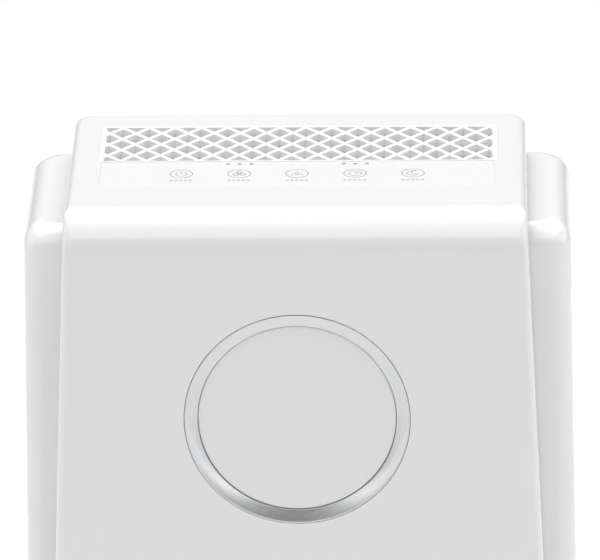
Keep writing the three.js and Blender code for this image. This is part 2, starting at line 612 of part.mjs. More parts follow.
function hepaFilter() {
  const frame = 6;
  const body = box(across(FILTER_HALF), [HEPA_REAR - HEPA_DEPTH, HEPA_REAR], filterHeight);
  const pitch = (FILTER_WIDTH - 2 * frame) / PLEATS;
  const depth = 9;
  const front = HEPA_REAR - HEPA_DEPTH;
  const grooves = [[HEPA_REAR + 1, HEPA_REAR - depth], [front - 1, front + depth]];
  const cuts = grooves.flatMap(([mouth, root]) => Array.from({ length: PLEATS }, (_, i) => {
    const x = frame - FILTER_HALF + (i + 0.5) * pitch;
    const outline = [[x - pitch * 0.45, mouth], [x + pitch * 0.45, mouth], [x, root]];
    const shape = new THREE.Shape(outline.map(([px, py]) => new THREE.Vector2(px, py)));
    return prism('z', shape, [FILTER_BOTTOM + frame, FILTER_TOP - frame]);
  }));
  return cut(body, ...cuts);
}

function carbonFilter() {
  const frame = 9;
  const body = box(across(FILTER_HALF), [CARBON_REAR - CARBON_DEPTH, CARBON_REAR], filterHeight);
  const faces = [CARBON_REAR, CARBON_REAR - CARBON_DEPTH].map((y) => (
    box(across(FILTER_HALF - frame), span(y, 1.5), [FILTER_BOTTOM + frame, FILTER_TOP - frame])));
  return cut(body, ...faces);
}

function preFilter() {
  const columns = 5;
  const rows = 6;
  const rib = 4;
  const half = FILTER_HALF - 2;
  const front = PRE_FILTER_REAR - PRE_FILTER_DEPTH;
  const body = box(across(half), [front, PRE_FILTER_REAR], filterHeight);
  const stepX = (2 * half - rib) / columns;
  const stepZ = (FILTER_HEIGHT - rib) / rows;
  const pockets = [];
  for (let i = 0; i < columns; i += 1) {
    for (let k = 0; k < rows; k += 1) {
      const x = rib - half + i * stepX;
      const z = FILTER_BOTTOM + rib + k * stepZ;
      pockets.push(box([x, x + stepX - rib], [front + 2, PRE_FILTER_REAR + 1], [z, z + stepZ - rib]));
    }
  }
  return cut(body, ...pockets);
}

function filterSeal() {
  const depth = [SEAL_REAR - SEAL_DEPTH, SEAL_REAR];
  const width = 8;
  const opening = box(across(FILTER_HALF - width), [depth[0] - 1, depth[1] + 1],
    [FILTER_BOTTOM + width, FILTER_TOP - width]);
  return cut(box(across(FILTER_HALF), depth, filterHeight), opening);
}

function filterBay() {
  const sleeve = box(across(BAY_HALF + WALL), [BAY_FRONT, BAY_REAR], [BAY_BOTTOM - WALL, BAY_TOP + WALL]);
  const frontPlate = box(across(BAY_PLATE_HALF), [BAY_FRONT, BAY_FLOOR], [BAY_BOTTOM - WALL, FLANGE_TOP]);
  const flange = box(across(FLANGE_HALF), [BAY_REAR - WALL, BAY_REAR],
    [DOOR_SILL - DOOR_GAP - 2 * WALL, FLANGE_TOP]);
  const bell = rodY(BELL_RADIUS + SCROLL_WALL, 0, [BAY_FRONT - BELL_LENGTH, BAY_FLOOR], FAN_Z, 32);
  const room = box(across(BAY_HALF), [BAY_FLOOR, BAY_REAR + 1], [BAY_BOTTOM, BAY_TOP]);
  const eye = rodY(BELL_RADIUS, 0, [BAY_FRONT - BELL_LENGTH - 1, BAY_FLOOR + 1], FAN_Z, 32);
  return cut(union(sleeve, frontPlate, flange, bell), room, eye);
}

function rearDoor() {
  const height = [HINGE_Z, DOOR_TOP];
  const skin = box(across(DOOR_HALF), [REAR - DOOR_SKIN, REAR], height);
  const frame = box(across(DOOR_HALF), [DOOR_INNER, REAR - DOOR_SKIN + 0.5], height);
  const hollow = box(across(DOOR_HALF - WALL), [DOOR_INNER - 1, REAR - DOOR_SKIN],
    [HINGE_Z + HINGE_RADIUS, DOOR_TOP - WALL]);
  const rib = box(across(WALL / 2), [DOOR_INNER, REAR - 1], height);
  const barrel = rodX(HINGE_RADIUS, across(DOOR_HALF), HINGE_Y, HINGE_Z, 24);
  const magnetSeats = [-1, 1].map((side) => box(span(side * MAGNET_X, MAGNET_RADIUS + 1.5),
    [DOOR_INNER + SEAT_GAP, REAR - 1], span(MAGNET_Z, MAGNET_RADIUS + 1.5)));
  const slots = [];
  for (let row = 0; row < SLOT_ROWS; row += 1) {
    const z = FILTER_CENTRE + (row - (SLOT_ROWS - 1) / 2) * SLOT_PITCH;
    for (const side of [-1, 1]) {
      slots.push(box(span((side * (SLOT_LENGTH + WALL * 3)) / 2, SLOT_LENGTH / 2), [REAR - WALL, REAR + 1],
        span(z, SLOT_HEIGHT / 2)));
    }
  }
  const pinHoles = [-1, 1].map((side) => rodX(HINGE_PIN_RADIUS + SEAT_GAP, span(side * DOOR_HALF, 8),
    HINGE_Y, HINGE_Z, 12));
  return cut(union(cut(union(skin, frame, barrel), hollow), rib, ...magnetSeats), ...slots, ...pinHoles);
}

function doorParts() {
  for (const [side, word] of [[-1, 'left'], [1, 'right']]) {
    const pin = rodX(HINGE_PIN_RADIUS, span(side * (DOOR_HALF + DOOR_GAP / 2), HINGE_PIN_LENGTH / 2),
      HINGE_Y, HINGE_Z, 12);
    place(`hinge_pin_${word}`, pin, 'steel');
    const magnet = rodY(MAGNET_RADIUS, side * MAGNET_X,
      [DOOR_INNER - MAGNET_DEPTH, DOOR_INNER], MAGNET_Z, 16);
    place(`door_magnet_${word}`, magnet, 'steel');
    const strike = box(span(side * MAGNET_X, MAGNET_RADIUS + 3), [BAY_REAR + SEAT_GAP, BAY_REAR + 1.5],
      span(MAGNET_Z, MAGNET_RADIUS + 1));
    place(`door_strike_${word}`, strike, 'steel');
  }
  place('door_switch', box([-44, -30], [BAY_REAR + SEAT_GAP, BAY_REAR + 4], span(MAGNET_Z, 3)), 'black');
}

// ---- fan and duct -------------------------------------------------------------------------------

function scrollOutline(grow) {
  const steps = 30;
  const points = Array.from({ length: steps + 1 }, (_, i) => {
    const turned = i / steps;
    const angle = radians(TONGUE_ANGLE + turned * (360 - TONGUE_ANGLE));
    const radius = SCROLL_RADIUS + grow + SCROLL_GROWTH * turned;
    return new THREE.Vector2(radius * Math.cos(angle), FAN_Z + radius * Math.sin(angle));
  });
  return new THREE.Shape(points);
}

function scrollCasing() {
  const outside = union(
    prism('y', scrollOutline(SCROLL_WALL), [SCROLL_FRONT, SCROLL_REAR]),
    box([OUTLET_LEFT - SCROLL_WALL, OUTLET_RIGHT + SCROLL_WALL], [SCROLL_FRONT, SCROLL_REAR],
      [FAN_Z, OUTLET_TOP]),
  );
  const inside = union(
    prism('y', scrollOutline(0), [SCROLL_INNER_FRONT, SCROLL_REAR + 1]),
    box([OUTLET_LEFT, OUTLET_RIGHT], [SCROLL_INNER_FRONT, SCROLL_REAR + 1], [FAN_Z, OUTLET_TOP + 1]),
  );
  const through = [SCROLL_FRONT - 1, SCROLL_INNER_FRONT + 1];
  const motorHole = rodY(HUB_RADIUS + 1, 0, through, FAN_Z, 24);
  const screwHole = SCREW_RADIUS + SCREW_CLEARANCE;
  const screwHoles = motorScrewSpots().map(([x, z]) => rodY(screwHole, x, through, z, 12));
  return cut(outside, inside, motorHole, ...screwHoles);
}

function motorScrewSpots() {
  return [90, 210, 330].map((degrees) => [
    MOTOR_SCREW_CIRCLE * Math.cos(radians(degrees)),
    FAN_Z + MOTOR_SCREW_CIRCLE * Math.sin(radians(degrees)),
  ]);
}

function impeller() {
  const disc = rodY(IMPELLER_RADIUS, 0, [IMPELLER_FRONT, IMPELLER_FRONT + 2], FAN_Z, 48);
  const hub = rodY(HUB_RADIUS, 0, [IMPELLER_FRONT + 1, IMPELLER_FRONT + HUB_LENGTH], FAN_Z, 24);
  const rim = rodY(IMPELLER_RADIUS, 0, [IMPELLER_REAR - 2, IMPELLER_REAR], FAN_Z, 48);
  const eye = rodY(IMPELLER_EYE, 0, [IMPELLER_REAR - 3, IMPELLER_REAR + 1], FAN_Z, 48);
  const bladeRadius = (IMPELLER_RADIUS + IMPELLER_EYE) / 2;
  const blades = Array.from({ length: BLADES }, (_, i) => {
    const blade = new THREE.BoxGeometry(BLADE_DEPTH * 0.875, IMPELLER_DEPTH - 2, 1.6);
    blade.rotateY(radians(35)).translate(bladeRadius, 0, 0).rotateY(radians((360 * i) / BLADES));
    return solid(blade.translate(0, (IMPELLER_FRONT + IMPELLER_REAR) / 2, FAN_Z));
  });
  const bore = rodY(SHAFT_RADIUS + SHAFT_CLEARANCE, 0, [IMPELLER_FRONT - 1, IMPELLER_REAR], FAN_Z, 24);
  return cut(union(disc, hub, cut(rim, eye), ...blades), bore);
}

function fanParts() {
  const boreRadius = SHAFT_RADIUS + SHAFT_CLEARANCE;
  const can = rodY(MOTOR_RADIUS, 0, [MOTOR_FRONT, MOTOR_REAR - 1], FAN_Z, 32);
  const flange = rodY(MOTOR_RADIUS + MOTOR_RIM, 0, [MOTOR_REAR - MOTOR_FLANGE, MOTOR_REAR], FAN_Z, 32);
  const nose = rodY(HUB_RADIUS - 2, 0, [MOTOR_REAR - 1, SCROLL_INNER_FRONT + 2], FAN_Z, 24);
  const bore = rodY(boreRadius, 0, [MOTOR_FRONT + 6, SCROLL_INNER_FRONT + 3], FAN_Z, 24);
  const holes = motorScrewSpots().map(([x, z]) => rodY(SCREW_RADIUS + SCREW_CLEARANCE, x,
    [MOTOR_REAR - MOTOR_FLANGE - 1, MOTOR_REAR + 1], z, 12));
  place('motor', cut(union(can, flange, nose), bore, ...holes), 'steel');
  motorScrewSpots().forEach(([x, z], i) => {
    const face = MOTOR_REAR - MOTOR_FLANGE - SEAT_GAP;
    const head = rodY(1.8 * SCREW_RADIUS, x, [face - 2, face], z, 12);
    const shank = rodY(SCREW_RADIUS, x, [face - 0.5, SCROLL_INNER_FRONT - SEAT_GAP], z, 12);
    place(`motor_screw_${i + 1}`, union(head, shank), 'steel');
  });
  const hubEnd = IMPELLER_FRONT + HUB_LENGTH;
  place('motor_shaft', rodY(SHAFT_RADIUS, 0, [MOTOR_FRONT + 7, hubEnd + 8], FAN_Z, 24), 'steel');
  const nut = rodY(7, 0, [hubEnd + SEAT_GAP, hubEnd + 6], FAN_Z, 6);
  place('impeller_nut', cut(nut, rodY(boreRadius, 0, [hubEnd, hubEnd + 7], FAN_Z, 24)), 'steel');
}

// A rectangle at one height as a ring for loft().
function rectangleRing([x0, x1], [y0, y1], z) {
  return [[x1, y1], [x0, y1], [x0, y0], [x1, y0]].map(([x, y]) => new THREE.Vector3(x, y, z));
}

function ductForm(grow, bottom, top) {
  const low = [[OUTLET_LEFT - grow, OUTLET_RIGHT + grow], [SCROLL_INNER_FRONT - grow, BAY_FRONT + grow]];
  const high = [across(LATTICE_HALF + grow), [LATTICE_FRONT - grow, LATTICE_REAR + grow]];
  const rings = [rectangleRing(...low, bottom), rectangleRing(...low, DUCT_BOTTOM + 4),
    rectangleRing(...high, DUCT_KNEE), rectangleRing(...high, top)];
  return loft(rings);
}

function outletDuct() {
  const rim = box(across(GRILLE_HALF + 2), [LATTICE_FRONT - DUCT_WALL, GRILLE_REAR + 2],
    [DUCT_TOP - 2, DUCT_TOP]);
  const wick = rodX(BRUSH.radius + SEAT_GAP, span(-LATTICE_HALF, 4), BRUSH.y, BRUSH.z, 12);
  const outside = union(ductForm(DUCT_WALL, DUCT_BOTTOM, DUCT_TOP), rim);
  return cut(outside, ductForm(0, DUCT_BOTTOM - 1, DUCT_TOP + 1), wick);
}

// ---- electrical parts ---------------------------------------------------------------------------

function ioniserParts() {
  const outer = LATTICE_HALF + DUCT_WALL;
  const module = box([-outer - 15, -outer - 4], span(BRUSH.y, 15), span(BRUSH.z, 6));
  place('ioniser_module', module, 'black');
  const brush = rodX(BRUSH.radius, [-outer - 4 + SEAT_GAP, -outer + 9], BRUSH.y, BRUSH.z, 12);
  place('ioniser_brush', brush, 'steel');
}

function powerBoard() {
  const bottom = POST_TOP;
  const left = -POWER_BOARD_WIDTH / 2;
  const plate = box(across(POWER_BOARD_WIDTH / 2), [BOARD_Y, BOARD_Y + BOARD_THICKNESS],
    [bottom, bottom + POWER_BOARD_HEIGHT]);
  const face = BOARD_Y + 0.5;
  const transformer = box([left + 12, left + 48], [face - 22, face], [bottom + 14, bottom + 46]);
  const heatSink = box([left + 58, left + 66], [face - 20, face], [bottom + 12, bottom + 60]);
  const connectors = [30, 62, 94, 126].map((x) => box([left + x, left + x + 14], [face - 9, face],
    [bottom + POWER_BOARD_HEIGHT - 14, bottom + POWER_BOARD_HEIGHT - PLUG_DROP]));
  const capacitors = [82, 102, 122].map((x) => rodY(7, left + x, [face - 18, face], bottom + 30, 12));
  return union(plate, transformer, heatSink, ...connectors, ...capacitors);
}

const INLET = { half: 10, rise: 6.5, flangeHalf: 12.2, flangeRise: 8.2, flangeDepth: 1.5, depth: 22 };
const SOCKET = { depth: 14, lobe: 4.2, spread: 4, pin: 1.2, pinSpread: 4.3 };
const BRUSH = { radius: 2.2, y: (LATTICE_FRONT + LATTICE_REAR) / 2, z: (HOUSING_TOP + HOOD_CEILING) / 2 };

function inletParts() {
  const mouth = REAR - SEAT_GAP / 2;
  const flange = box(span(INLET_X, INLET.flangeHalf), [mouth - INLET.flangeDepth, mouth],
    span(INLET_HEIGHT, INLET.flangeRise));
  const body = box(span(INLET_X, INLET.half), [mouth - INLET.depth, mouth - 0.5],
    span(INLET_HEIGHT, INLET.rise));
  const socket = [mouth - SOCKET.depth, mouth + 1];
  const lobes = [-1, 1].map((side) => (
    rodY(SOCKET.lobe, INLET_X + side * SOCKET.spread, socket, INLET_HEIGHT, 16)));
  const waist = box(span(INLET_X, SOCKET.spread), socket, span(INLET_HEIGHT, SOCKET.lobe));
  const pinSpots = [-1, 1].map((side) => INLET_X + side * SOCKET.pinSpread);
  const seat = [socket[0] - 4, socket[0] + 1];
  const seats = pinSpots.map((x) => rodY(SOCKET.pin + SEAT_GAP, x, seat, INLET_HEIGHT, 12));
  place('power_inlet', cut(union(flange, body), ...lobes, waist, ...seats), 'black');
  pinSpots.forEach((x, i) => {
    const pin = rodY(SOCKET.pin, x, [socket[0] - 3.6, socket[0] + 9], INLET_HEIGHT, 12);
    place(`inlet_pin_${i + 1}`, pin, 'steel');
  });
}

function cable(points) {
  const stops = points.map((point) => new THREE.Vector3(...point));
  const path = new THREE.CatmullRomCurve3(stops, false, 'centripetal');
  const section = new THREE.Shape();
  section.absarc(0, 0, CABLE_RADIUS, 0, 2 * Math.PI);
  return solid(new THREE.ExtrudeGeometry(section, { steps: 22, extrudePath: path, curveSegments: 6 }));
}

// Leads run down inside the hood, in the room between its front and the housing.
function cables() {
  const lane = HOUSING_FRONT - 20;
  const boardTop = POST_TOP + POWER_BOARD_HEIGHT;
  const left = -POWER_BOARD_WIDTH / 2;
  const plugZ = boardTop - PLUG_DROP + SEAT_GAP;
  const entryZ = plugZ + 8;
  const plugY = BOARD_Y - 5;
  const rightLane = CONTROL_BOARD_WIDTH / 2 + 12;
  const motorMiddle = (MOTOR_FRONT + MOTOR_REAR) / 2;
  place('control_cable', cable([
    [CONTROL_BOARD_WIDTH / 2 - 18, OVERLAY_FRONT + 8, BOARD_TOP - BOARD_THICKNESS - SEAT_GAP - CABLE_RADIUS],
    [rightLane - 8, OVERLAY_FRONT - 8, BOARD_TOP - 7],
    [rightLane, lane, BOARD_TOP - 40],
    [rightLane, lane, (BOARD_TOP + boardTop) / 2],
    [rightLane - 10, lane, boardTop + 30],
    [left + 133, plugY, entryZ],
    [left + 133, plugY, plugZ],
  ]), 'wire');
  place('ioniser_lead', cable([
    [-LATTICE_HALF - DUCT_WALL - 10, BRUSH.y - 15 - SEAT_GAP, BRUSH.z],
    [-LATTICE_HALF - DUCT_WALL - 7, OVERLAY_FRONT, BRUSH.z],
    [-rightLane, lane, BOARD_TOP - 40],
    [-rightLane, lane, (BOARD_TOP + boardTop) / 2],
    [-rightLane + 10, lane, boardTop + 30],
    [left + 37, plugY, entryZ],
    [left + 37, plugY, plugZ],
  ]), 'wire');
  place('motor_lead', cable([
    [left + 69, motorMiddle, FAN_Z - MOTOR_RADIUS - SEAT_GAP],
    [left + 69, motorMiddle, FAN_Z - MOTOR_RADIUS - 6],
    [left + 69, plugY, entryZ],
    [left + 69, plugY, plugZ],
  ]), 'wire');
  place('mains_lead', cable([
    [INLET_X, REAR - INLET.depth - 2 * SEAT_GAP, INLET_HEIGHT],
    [INLET_X, REAR - INLET.depth - 10, INLET_HEIGHT],
    [INLET_X, BAY_FRONT, INLET_HEIGHT - 14],
    [INLET_X - 20, HOUSING_FRONT + 14, INLET_HEIGHT - 17],
    [POWER_BOARD_WIDTH / 2 + 30, HOUSING_FRONT - 6, INLET_HEIGHT - 17],
    [POWER_BOARD_WIDTH / 2 + SEAT_GAP + 1, BOARD_Y, INLET_HEIGHT - 17],
  ]), 'wire');
}

place('rear_housing', rearHousing(), 'shell');
place('front_hood', frontHood(), 'shell');
place('base_tray', baseTray(), 'inner');
feet();
baseScrews();
place('outlet_grille', outletGrille(), 'insert');
place('ring_bezel', ringBezel(), 'aluminium');
place('front_disc', frontDisc(), 'shell');
controlParts();
place('rear_door', rearDoor(), 'shell');
doorParts();
place('pre_filter', preFilter(), 'black');
place('carbon_filter', carbonFilter(), 'carbon');
place('hepa_filter', hepaFilter(), 'paper');
place('filter_seal', filterSeal(), 'rubber');
place('filter_bay', filterBay(), 'inner');
place('scroll_casing', scrollCasing(), 'inner');
place('impeller', impeller(), 'black');
fanParts();
place('outlet_duct', outletDuct(), 'inner');
ioniserParts();
place('power_board', powerBoard(), 'board');
inletParts();
cables();

export default purifier;
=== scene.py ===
"""A room air purifier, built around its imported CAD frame. Metres, Z up, the front faces -Y."""
import math

import bmesh
import bpy
from mathutils import Matrix, Vector


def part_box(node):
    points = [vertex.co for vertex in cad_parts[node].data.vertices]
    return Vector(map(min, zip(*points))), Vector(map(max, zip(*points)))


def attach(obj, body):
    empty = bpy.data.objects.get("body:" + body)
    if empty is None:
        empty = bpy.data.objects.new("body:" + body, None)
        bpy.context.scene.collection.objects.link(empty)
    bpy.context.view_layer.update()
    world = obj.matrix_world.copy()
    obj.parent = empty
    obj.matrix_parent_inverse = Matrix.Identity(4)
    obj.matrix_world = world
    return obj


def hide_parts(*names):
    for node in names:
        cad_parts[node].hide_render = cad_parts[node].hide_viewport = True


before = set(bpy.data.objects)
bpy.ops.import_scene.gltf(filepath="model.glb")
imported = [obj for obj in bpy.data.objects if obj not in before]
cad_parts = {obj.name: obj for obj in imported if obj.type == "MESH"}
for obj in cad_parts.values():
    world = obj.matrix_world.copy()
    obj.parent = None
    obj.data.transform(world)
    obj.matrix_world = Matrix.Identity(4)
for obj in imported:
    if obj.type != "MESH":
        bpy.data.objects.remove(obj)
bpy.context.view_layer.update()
MM = 0.001

# ---- sizes taken from the frame ------------------------------------------------------------------

HOOD_LOW, HOOD_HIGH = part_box("front_hood")
HOUSING_LOW, HOUSING_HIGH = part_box("rear_housing")
GRILLE_LOW, GRILLE_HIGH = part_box("outlet_grille")
OVERLAY_LOW, OVERLAY_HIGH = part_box("touch_overlay")
RING_LOW, RING_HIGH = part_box("ring_bezel")
DISC_LOW, DISC_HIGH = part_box("front_disc")
DOOR_LOW, DOOR_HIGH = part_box("rear_door")
BAY_LOW, BAY_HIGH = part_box("filter_bay")
PRE_LOW, PRE_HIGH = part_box("pre_filter")
CARBON_LOW, CARBON_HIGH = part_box("carbon_filter")
HEPA_LOW, HEPA_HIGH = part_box("hepa_filter")
INLET_LOW, INLET_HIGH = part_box("power_inlet")
TRAY_LOW, TRAY_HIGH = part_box("base_tray")
SEAM = 0.06 * MM  # between the touch panel or the lattice and the hood round it
FIT = 0.35 * MM  # between other pieces that sit against each other
TOP = HOOD_HIGH.z
FRONT = HOOD_LOW.y
REAR = HOOD_HIGH.y
HOUSING_TOP = HOUSING_HIGH.z
HOUSING_FRONT = HOUSING_LOW.y
SHELL_BOTTOM = HOOD_LOW.z
WALL = 3 * MM
FAR = 1.0
KEY_X = [(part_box(f"touch_spring_{i}")[0].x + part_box(f"touch_spring_{i}")[1].x) / 2 for i in range(1, 6)]
KEY_Y = (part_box("touch_spring_1")[0].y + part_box("touch_spring_1")[1].y) / 2
LAMP_Y = (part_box("light_guide")[0].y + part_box("light_guide")[1].y) / 2
RING_Z = (RING_LOW.z + RING_HIGH.z) / 2
RING_RADIUS = (RING_HIGH.z - RING_LOW.z) / 2
HINGE_Z = (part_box("hinge_pin_left")[0].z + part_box("hinge_pin_left")[1].z) / 2
HINGE_Y = (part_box("hinge_pin_left")[0].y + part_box("hinge_pin_left")[1].y) / 2

HOOD_LEAN = math.radians(2.45)
HOUSING_LEAN = math.radians(0.85)
HOOD_CORNER = 5 * MM
HOOD_REAR_CORNER = 10 * MM
HOOD_REAR_EDGE = 3 * MM
HOOD_BROW = 24 * MM
HOUSING_CORNER = 12 * MM
HOUSING_BROW = 14 * MM
HOUSING_REAR_EDGE = 4 * MM
WINDOW_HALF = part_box("scroll_casing")[1].x + 2 * MM


def hood_half(z):
    return HOOD_HIGH.x - (z - SHELL_BOTTOM) * math.tan(HOOD_LEAN)


def housing_half(z):
    return HOUSING_HIGH.x - (z - SHELL_BOTTOM) * math.tan(HOUSING_LEAN)


# ---- camera --------------------------------------------------------------------------------------

CAMERA_AZIMUTH = math.radians(1.5)
CAMERA_ELEVATION = math.radians(22)
CAMERA_ROLL = math.radians(0.78)
CAMERA_DISTANCE = 4.8
CAMERA_LENS = 480
SENSOR_WIDTH = 36
NEAREST = 0.1
FARTHEST = 60
AIM = Vector((2.3 * MM, FRONT + 22 * MM, TOP - 47.7 * MM))


def add_camera():
    """The camera, turned about its own line of sight by the roll."""
    back = Vector((
        math.sin(CAMERA_AZIMUTH) * math.cos(CAMERA_ELEVATION),
        -math.cos(CAMERA_AZIMUTH) * math.cos(CAMERA_ELEVATION),
        math.sin(CAMERA_ELEVATION),
    ))
    level = Vector((math.cos(CAMERA_AZIMUTH), math.sin(CAMERA_AZIMUTH), 0))
    upright = back.cross(level)
    right = level * math.cos(CAMERA_ROLL) - upright * math.sin(CAMERA_ROLL)
    up = level * math.sin(CAMERA_ROLL) + upright * math.cos(CAMERA_ROLL)
    data = bpy.data.cameras.new("camera")
    data.lens = CAMERA_LENS
    data.sensor_width = SENSOR_WIDTH
    data.clip_start = NEAREST
    data.clip_end = FARTHEST
    camera = bpy.data.objects.new("camera", data)
    bpy.context.scene.collection.objects.link(camera)
    axes = Matrix((right, up, back)).transposed().to_4x4()
    camera.matrix_world = Matrix.Translation(AIM + back * CAMERA_DISTANCE) @ axes
    bpy.context.scene.camera = camera


# ---- meshes --------------------------------------------------------------------------------------

def new_object(name, vertices, faces):
    mesh = bpy.data.meshes.new(name)
    mesh.from_pydata([tuple(v) for v in vertices], [], faces)
    work = bmesh.new()
    work.from_mesh(mesh)
    bmesh.ops.remove_doubles(work, verts=work.verts, dist=1e-7)
    bmesh.ops.recalc_face_normals(work, faces=work.faces)
    work.to_mesh(mesh)
    work.free()
    obj = bpy.data.objects.new(name, mesh)
    bpy.context.scene.collection.objects.link(obj)
    return obj


def loft(name, rings):
    """A skin over rings of equal length, each a closed loop of points."""
    count = len(rings[0])
    vertices = [point for ring in rings for point in ring]
    faces = []
    for level in range(len(rings) - 1):
        for i in range(count):
            a = level * count + i
            b = level * count + (i + 1) % count
            faces.append((a, b, b + count, a + count))
    last = (len(rings) - 1) * count
    faces.append(tuple(reversed(range(count))))
    faces.append(tuple(range(last, last + count)))
    return new_object(name, vertices, faces)


def rounded_outline(x0, x1, y0, y1, radius, steps=6):
    """Points of a rectangle with round corners, anticlockwise."""
    radius = max(min(radius, (x1 - x0) / 2, (y1 - y0) / 2), 1e-6)
    corners = [(x1 - radius, y1 - radius), (x0 + radius, y1 - radius),
               (x0 + radius, y0 + radius), (x1 - radius, y0 + radius)]
    points = []
    for quarter, (x, y) in enumerate(corners):
        for i in range(steps + 1):
            angle = math.pi / 2 * (quarter + i / steps)
            points.append((x + radius * math.cos(angle), y + radius * math.sin(angle)))
    return points


def circle_outline(x, y, radius, steps=96):
    return [(x + radius * math.cos(2 * math.pi * i / steps), y + radius * math.sin(2 * math.pi * i / steps))
            for i in range(steps)]


PLANES = {
    "x": lambda u, v, w: Vector((w, u, v)),
    "y": lambda u, v, w: Vector((u, w, v)),
    "z": lambda u, v, w: Vector((u, v, w)),
}


def prism(name, axis, outline, low, high):
    """An outline across an axis, drawn out along it."""
    spread = PLANES[axis]
    return loft(name, [[spread(u, v, w) for u, v in outline] for w in (low, high)])


def block(name, low, high):
    return prism(name, "z", [(high[0], high[1]), (low[0], high[1]), (low[0], low[1]), (high[0], low[1])],
                 low[2], high[2])


def turned(name, profile, centre, segments=160):
    """A closed outline of (radius, y) turned round an axis along Y through the centre (x, z)."""
    rings = []
    for i in range(segments):
        angle = 2 * math.pi * i / segments
        rings.append([Vector((centre[0] + r * math.cos(angle), y, centre[1] + r * math.sin(angle)))
                      for r, y in profile])
    count = len(profile)
    vertices = [point for ring in rings for point in ring]
    faces = []
    for i in range(segments):
        j = (i + 1) % segments
        for k in range(count):
            m = (k + 1) % count
            faces.append((i * count + k, i * count + m, j * count + m, j * count + k))
    return new_object(name, vertices, faces)


def spun(name, profile, x, y, segments=48):
    """An open outline of (radius, z) from axis to axis, turned round an upright axis."""
    vertices = []
    rows = []
    for r, z in profile:
        if r == 0:
            rows.append([len(vertices)])
            vertices.append(Vector((x, y, z)))
            continue
        rows.append(list(range(len(vertices), len(vertices) + segments)))
        for i in range(segments):
            angle = 2 * math.pi * i / segments
            vertices.append(Vector((x + r * math.cos(angle), y + r * math.sin(angle), z)))
    faces = []
    for row, following in zip(rows, rows[1:]):
        for i in range(segments):
            j = (i + 1) % segments
            corners = [row[i % len(row)], row[j % len(row)], following[j % len(following)],
                       following[i % len(following)]]
            faces.append(tuple(dict.fromkeys(corners)))
    return new_object(name, vertices, faces)


def evaluated(obj):
    """Replaces an object's mesh by its modified mesh."""
    graph = bpy.context.evaluated_depsgraph_get()
    mesh = bpy.data.meshes.new_from_object(obj.evaluated_get(graph))
    obj.modifiers.clear()
    obj.data = mesh


def carve(obj, operation, *tools):
    """Joins the tools to a solid (UNION) or cuts them from it (DIFFERENCE)."""
    for tool in tools:
        modifier = obj.modifiers.new("carve", "BOOLEAN")
        modifier.operation = operation
        modifier.solver = "EXACT"
        modifier.object = tool
    evaluated(obj)
    for tool in tools:
        bpy.data.objects.remove(tool)


def joined(name, parts):
    """One object from several that don't touch."""
    work = bmesh.new()
    for part in parts:
        work.from_mesh(part.data)
        bpy.data.objects.remove(part)
    mesh = bpy.data.meshes.new(name)
    work.to_mesh(mesh)
    work.free()
    obj = bpy.data.objects.new(name, mesh)
    bpy.context.scene.collection.objects.link(obj)
    return obj


def soften(obj, width=0.4 * MM, segments=2, angle=35):
    """Small rounds on the sharp edges, and smooth shading that keeps the flats flat."""
    for polygon in obj.data.polygons:
        polygon.use_smooth = True
    bevel = obj.modifiers.new("edge", "BEVEL")
    bevel.width = width
    bevel.segments = segments
    bevel.limit_method = "ANGLE"
    bevel.angle_limit = math.radians(angle)
    bevel.use_clamp_overlap = True
    bevel.miter_outer = "MITER_ARC"
    normals = obj.modifiers.new("normals", "WEIGHTED_NORMAL")
    normals.keep_sharp = True
    normals.weight = 80
    return obj


def smooth(obj, angle=30):
    for polygon in obj.data.polygons:
        polygon.use_smooth = True
    obj.data.set_sharp_from_angle(angle=math.radians(angle))
    return obj


# ---- materials -----------------------------------------------------------------------------------

def add_node(tree, kind, **values):
    node = tree.nodes.new(kind)
    for key, value in values.items():
        if hasattr(node, key):
            setattr(node, key, value)
        else:
            node.inputs[key].default_value = value
    return node


def noise(tree, scale, detail=3.0, roughness=0.5, stretch=None):
    """A noise pattern in object space, in features per metre."""
    coordinates = add_node(tree, "ShaderNodeTexCoord")
    source = coordinates.outputs["Object"]
    if stretch:
        mapping = add_node(tree, "ShaderNodeMapping")
        mapping.inputs["Scale"].default_value = stretch
        tree.links.new(source, mapping.inputs["Vector"])
        source = mapping.outputs["Vector"]
    texture = add_node(tree, "ShaderNodeTexNoise")
    texture.inputs["Scale"].default_value = scale
    texture.inputs["Detail"].default_value = detail
    texture.inputs["Roughness"].default_value = roughness
    tree.links.new(source, texture.inputs["Vector"])
    return texture.outputs["Fac"]


def spread(tree, factor, low, high):
    """Maps a pattern onto a range of values."""
    node = add_node(tree, "ShaderNodeMapRange")
    node.inputs["From Min"].default_value = 0.3
    node.inputs["From Max"].default_value = 0.7
    node.inputs["To Min"].default_value = low
    node.inputs["To Max"].default_value = high
    tree.links.new(factor, node.inputs["Value"])
    return node.outputs["Result"]


def blend_colours(tree, factor, first, second):
    node = add_node(tree, "ShaderNodeMix", data_type="RGBA")
    node.inputs["A"].default_value = (*first, 1)
    node.inputs["B"].default_value = (*second, 1)
    tree.links.new(factor, node.inputs["Factor"])
    return node.outputs["Result"]


def bump(tree, shader, height, distance, strength=1.0):
    node = add_node(tree, "ShaderNodeBump")
    node.inputs["Distance"].default_value = distance
    node.inputs["Strength"].default_value = strength
    tree.links.new(height, node.inputs["Height"])
    tree.links.new(node.outputs["Normal"], shader.inputs["Normal"])


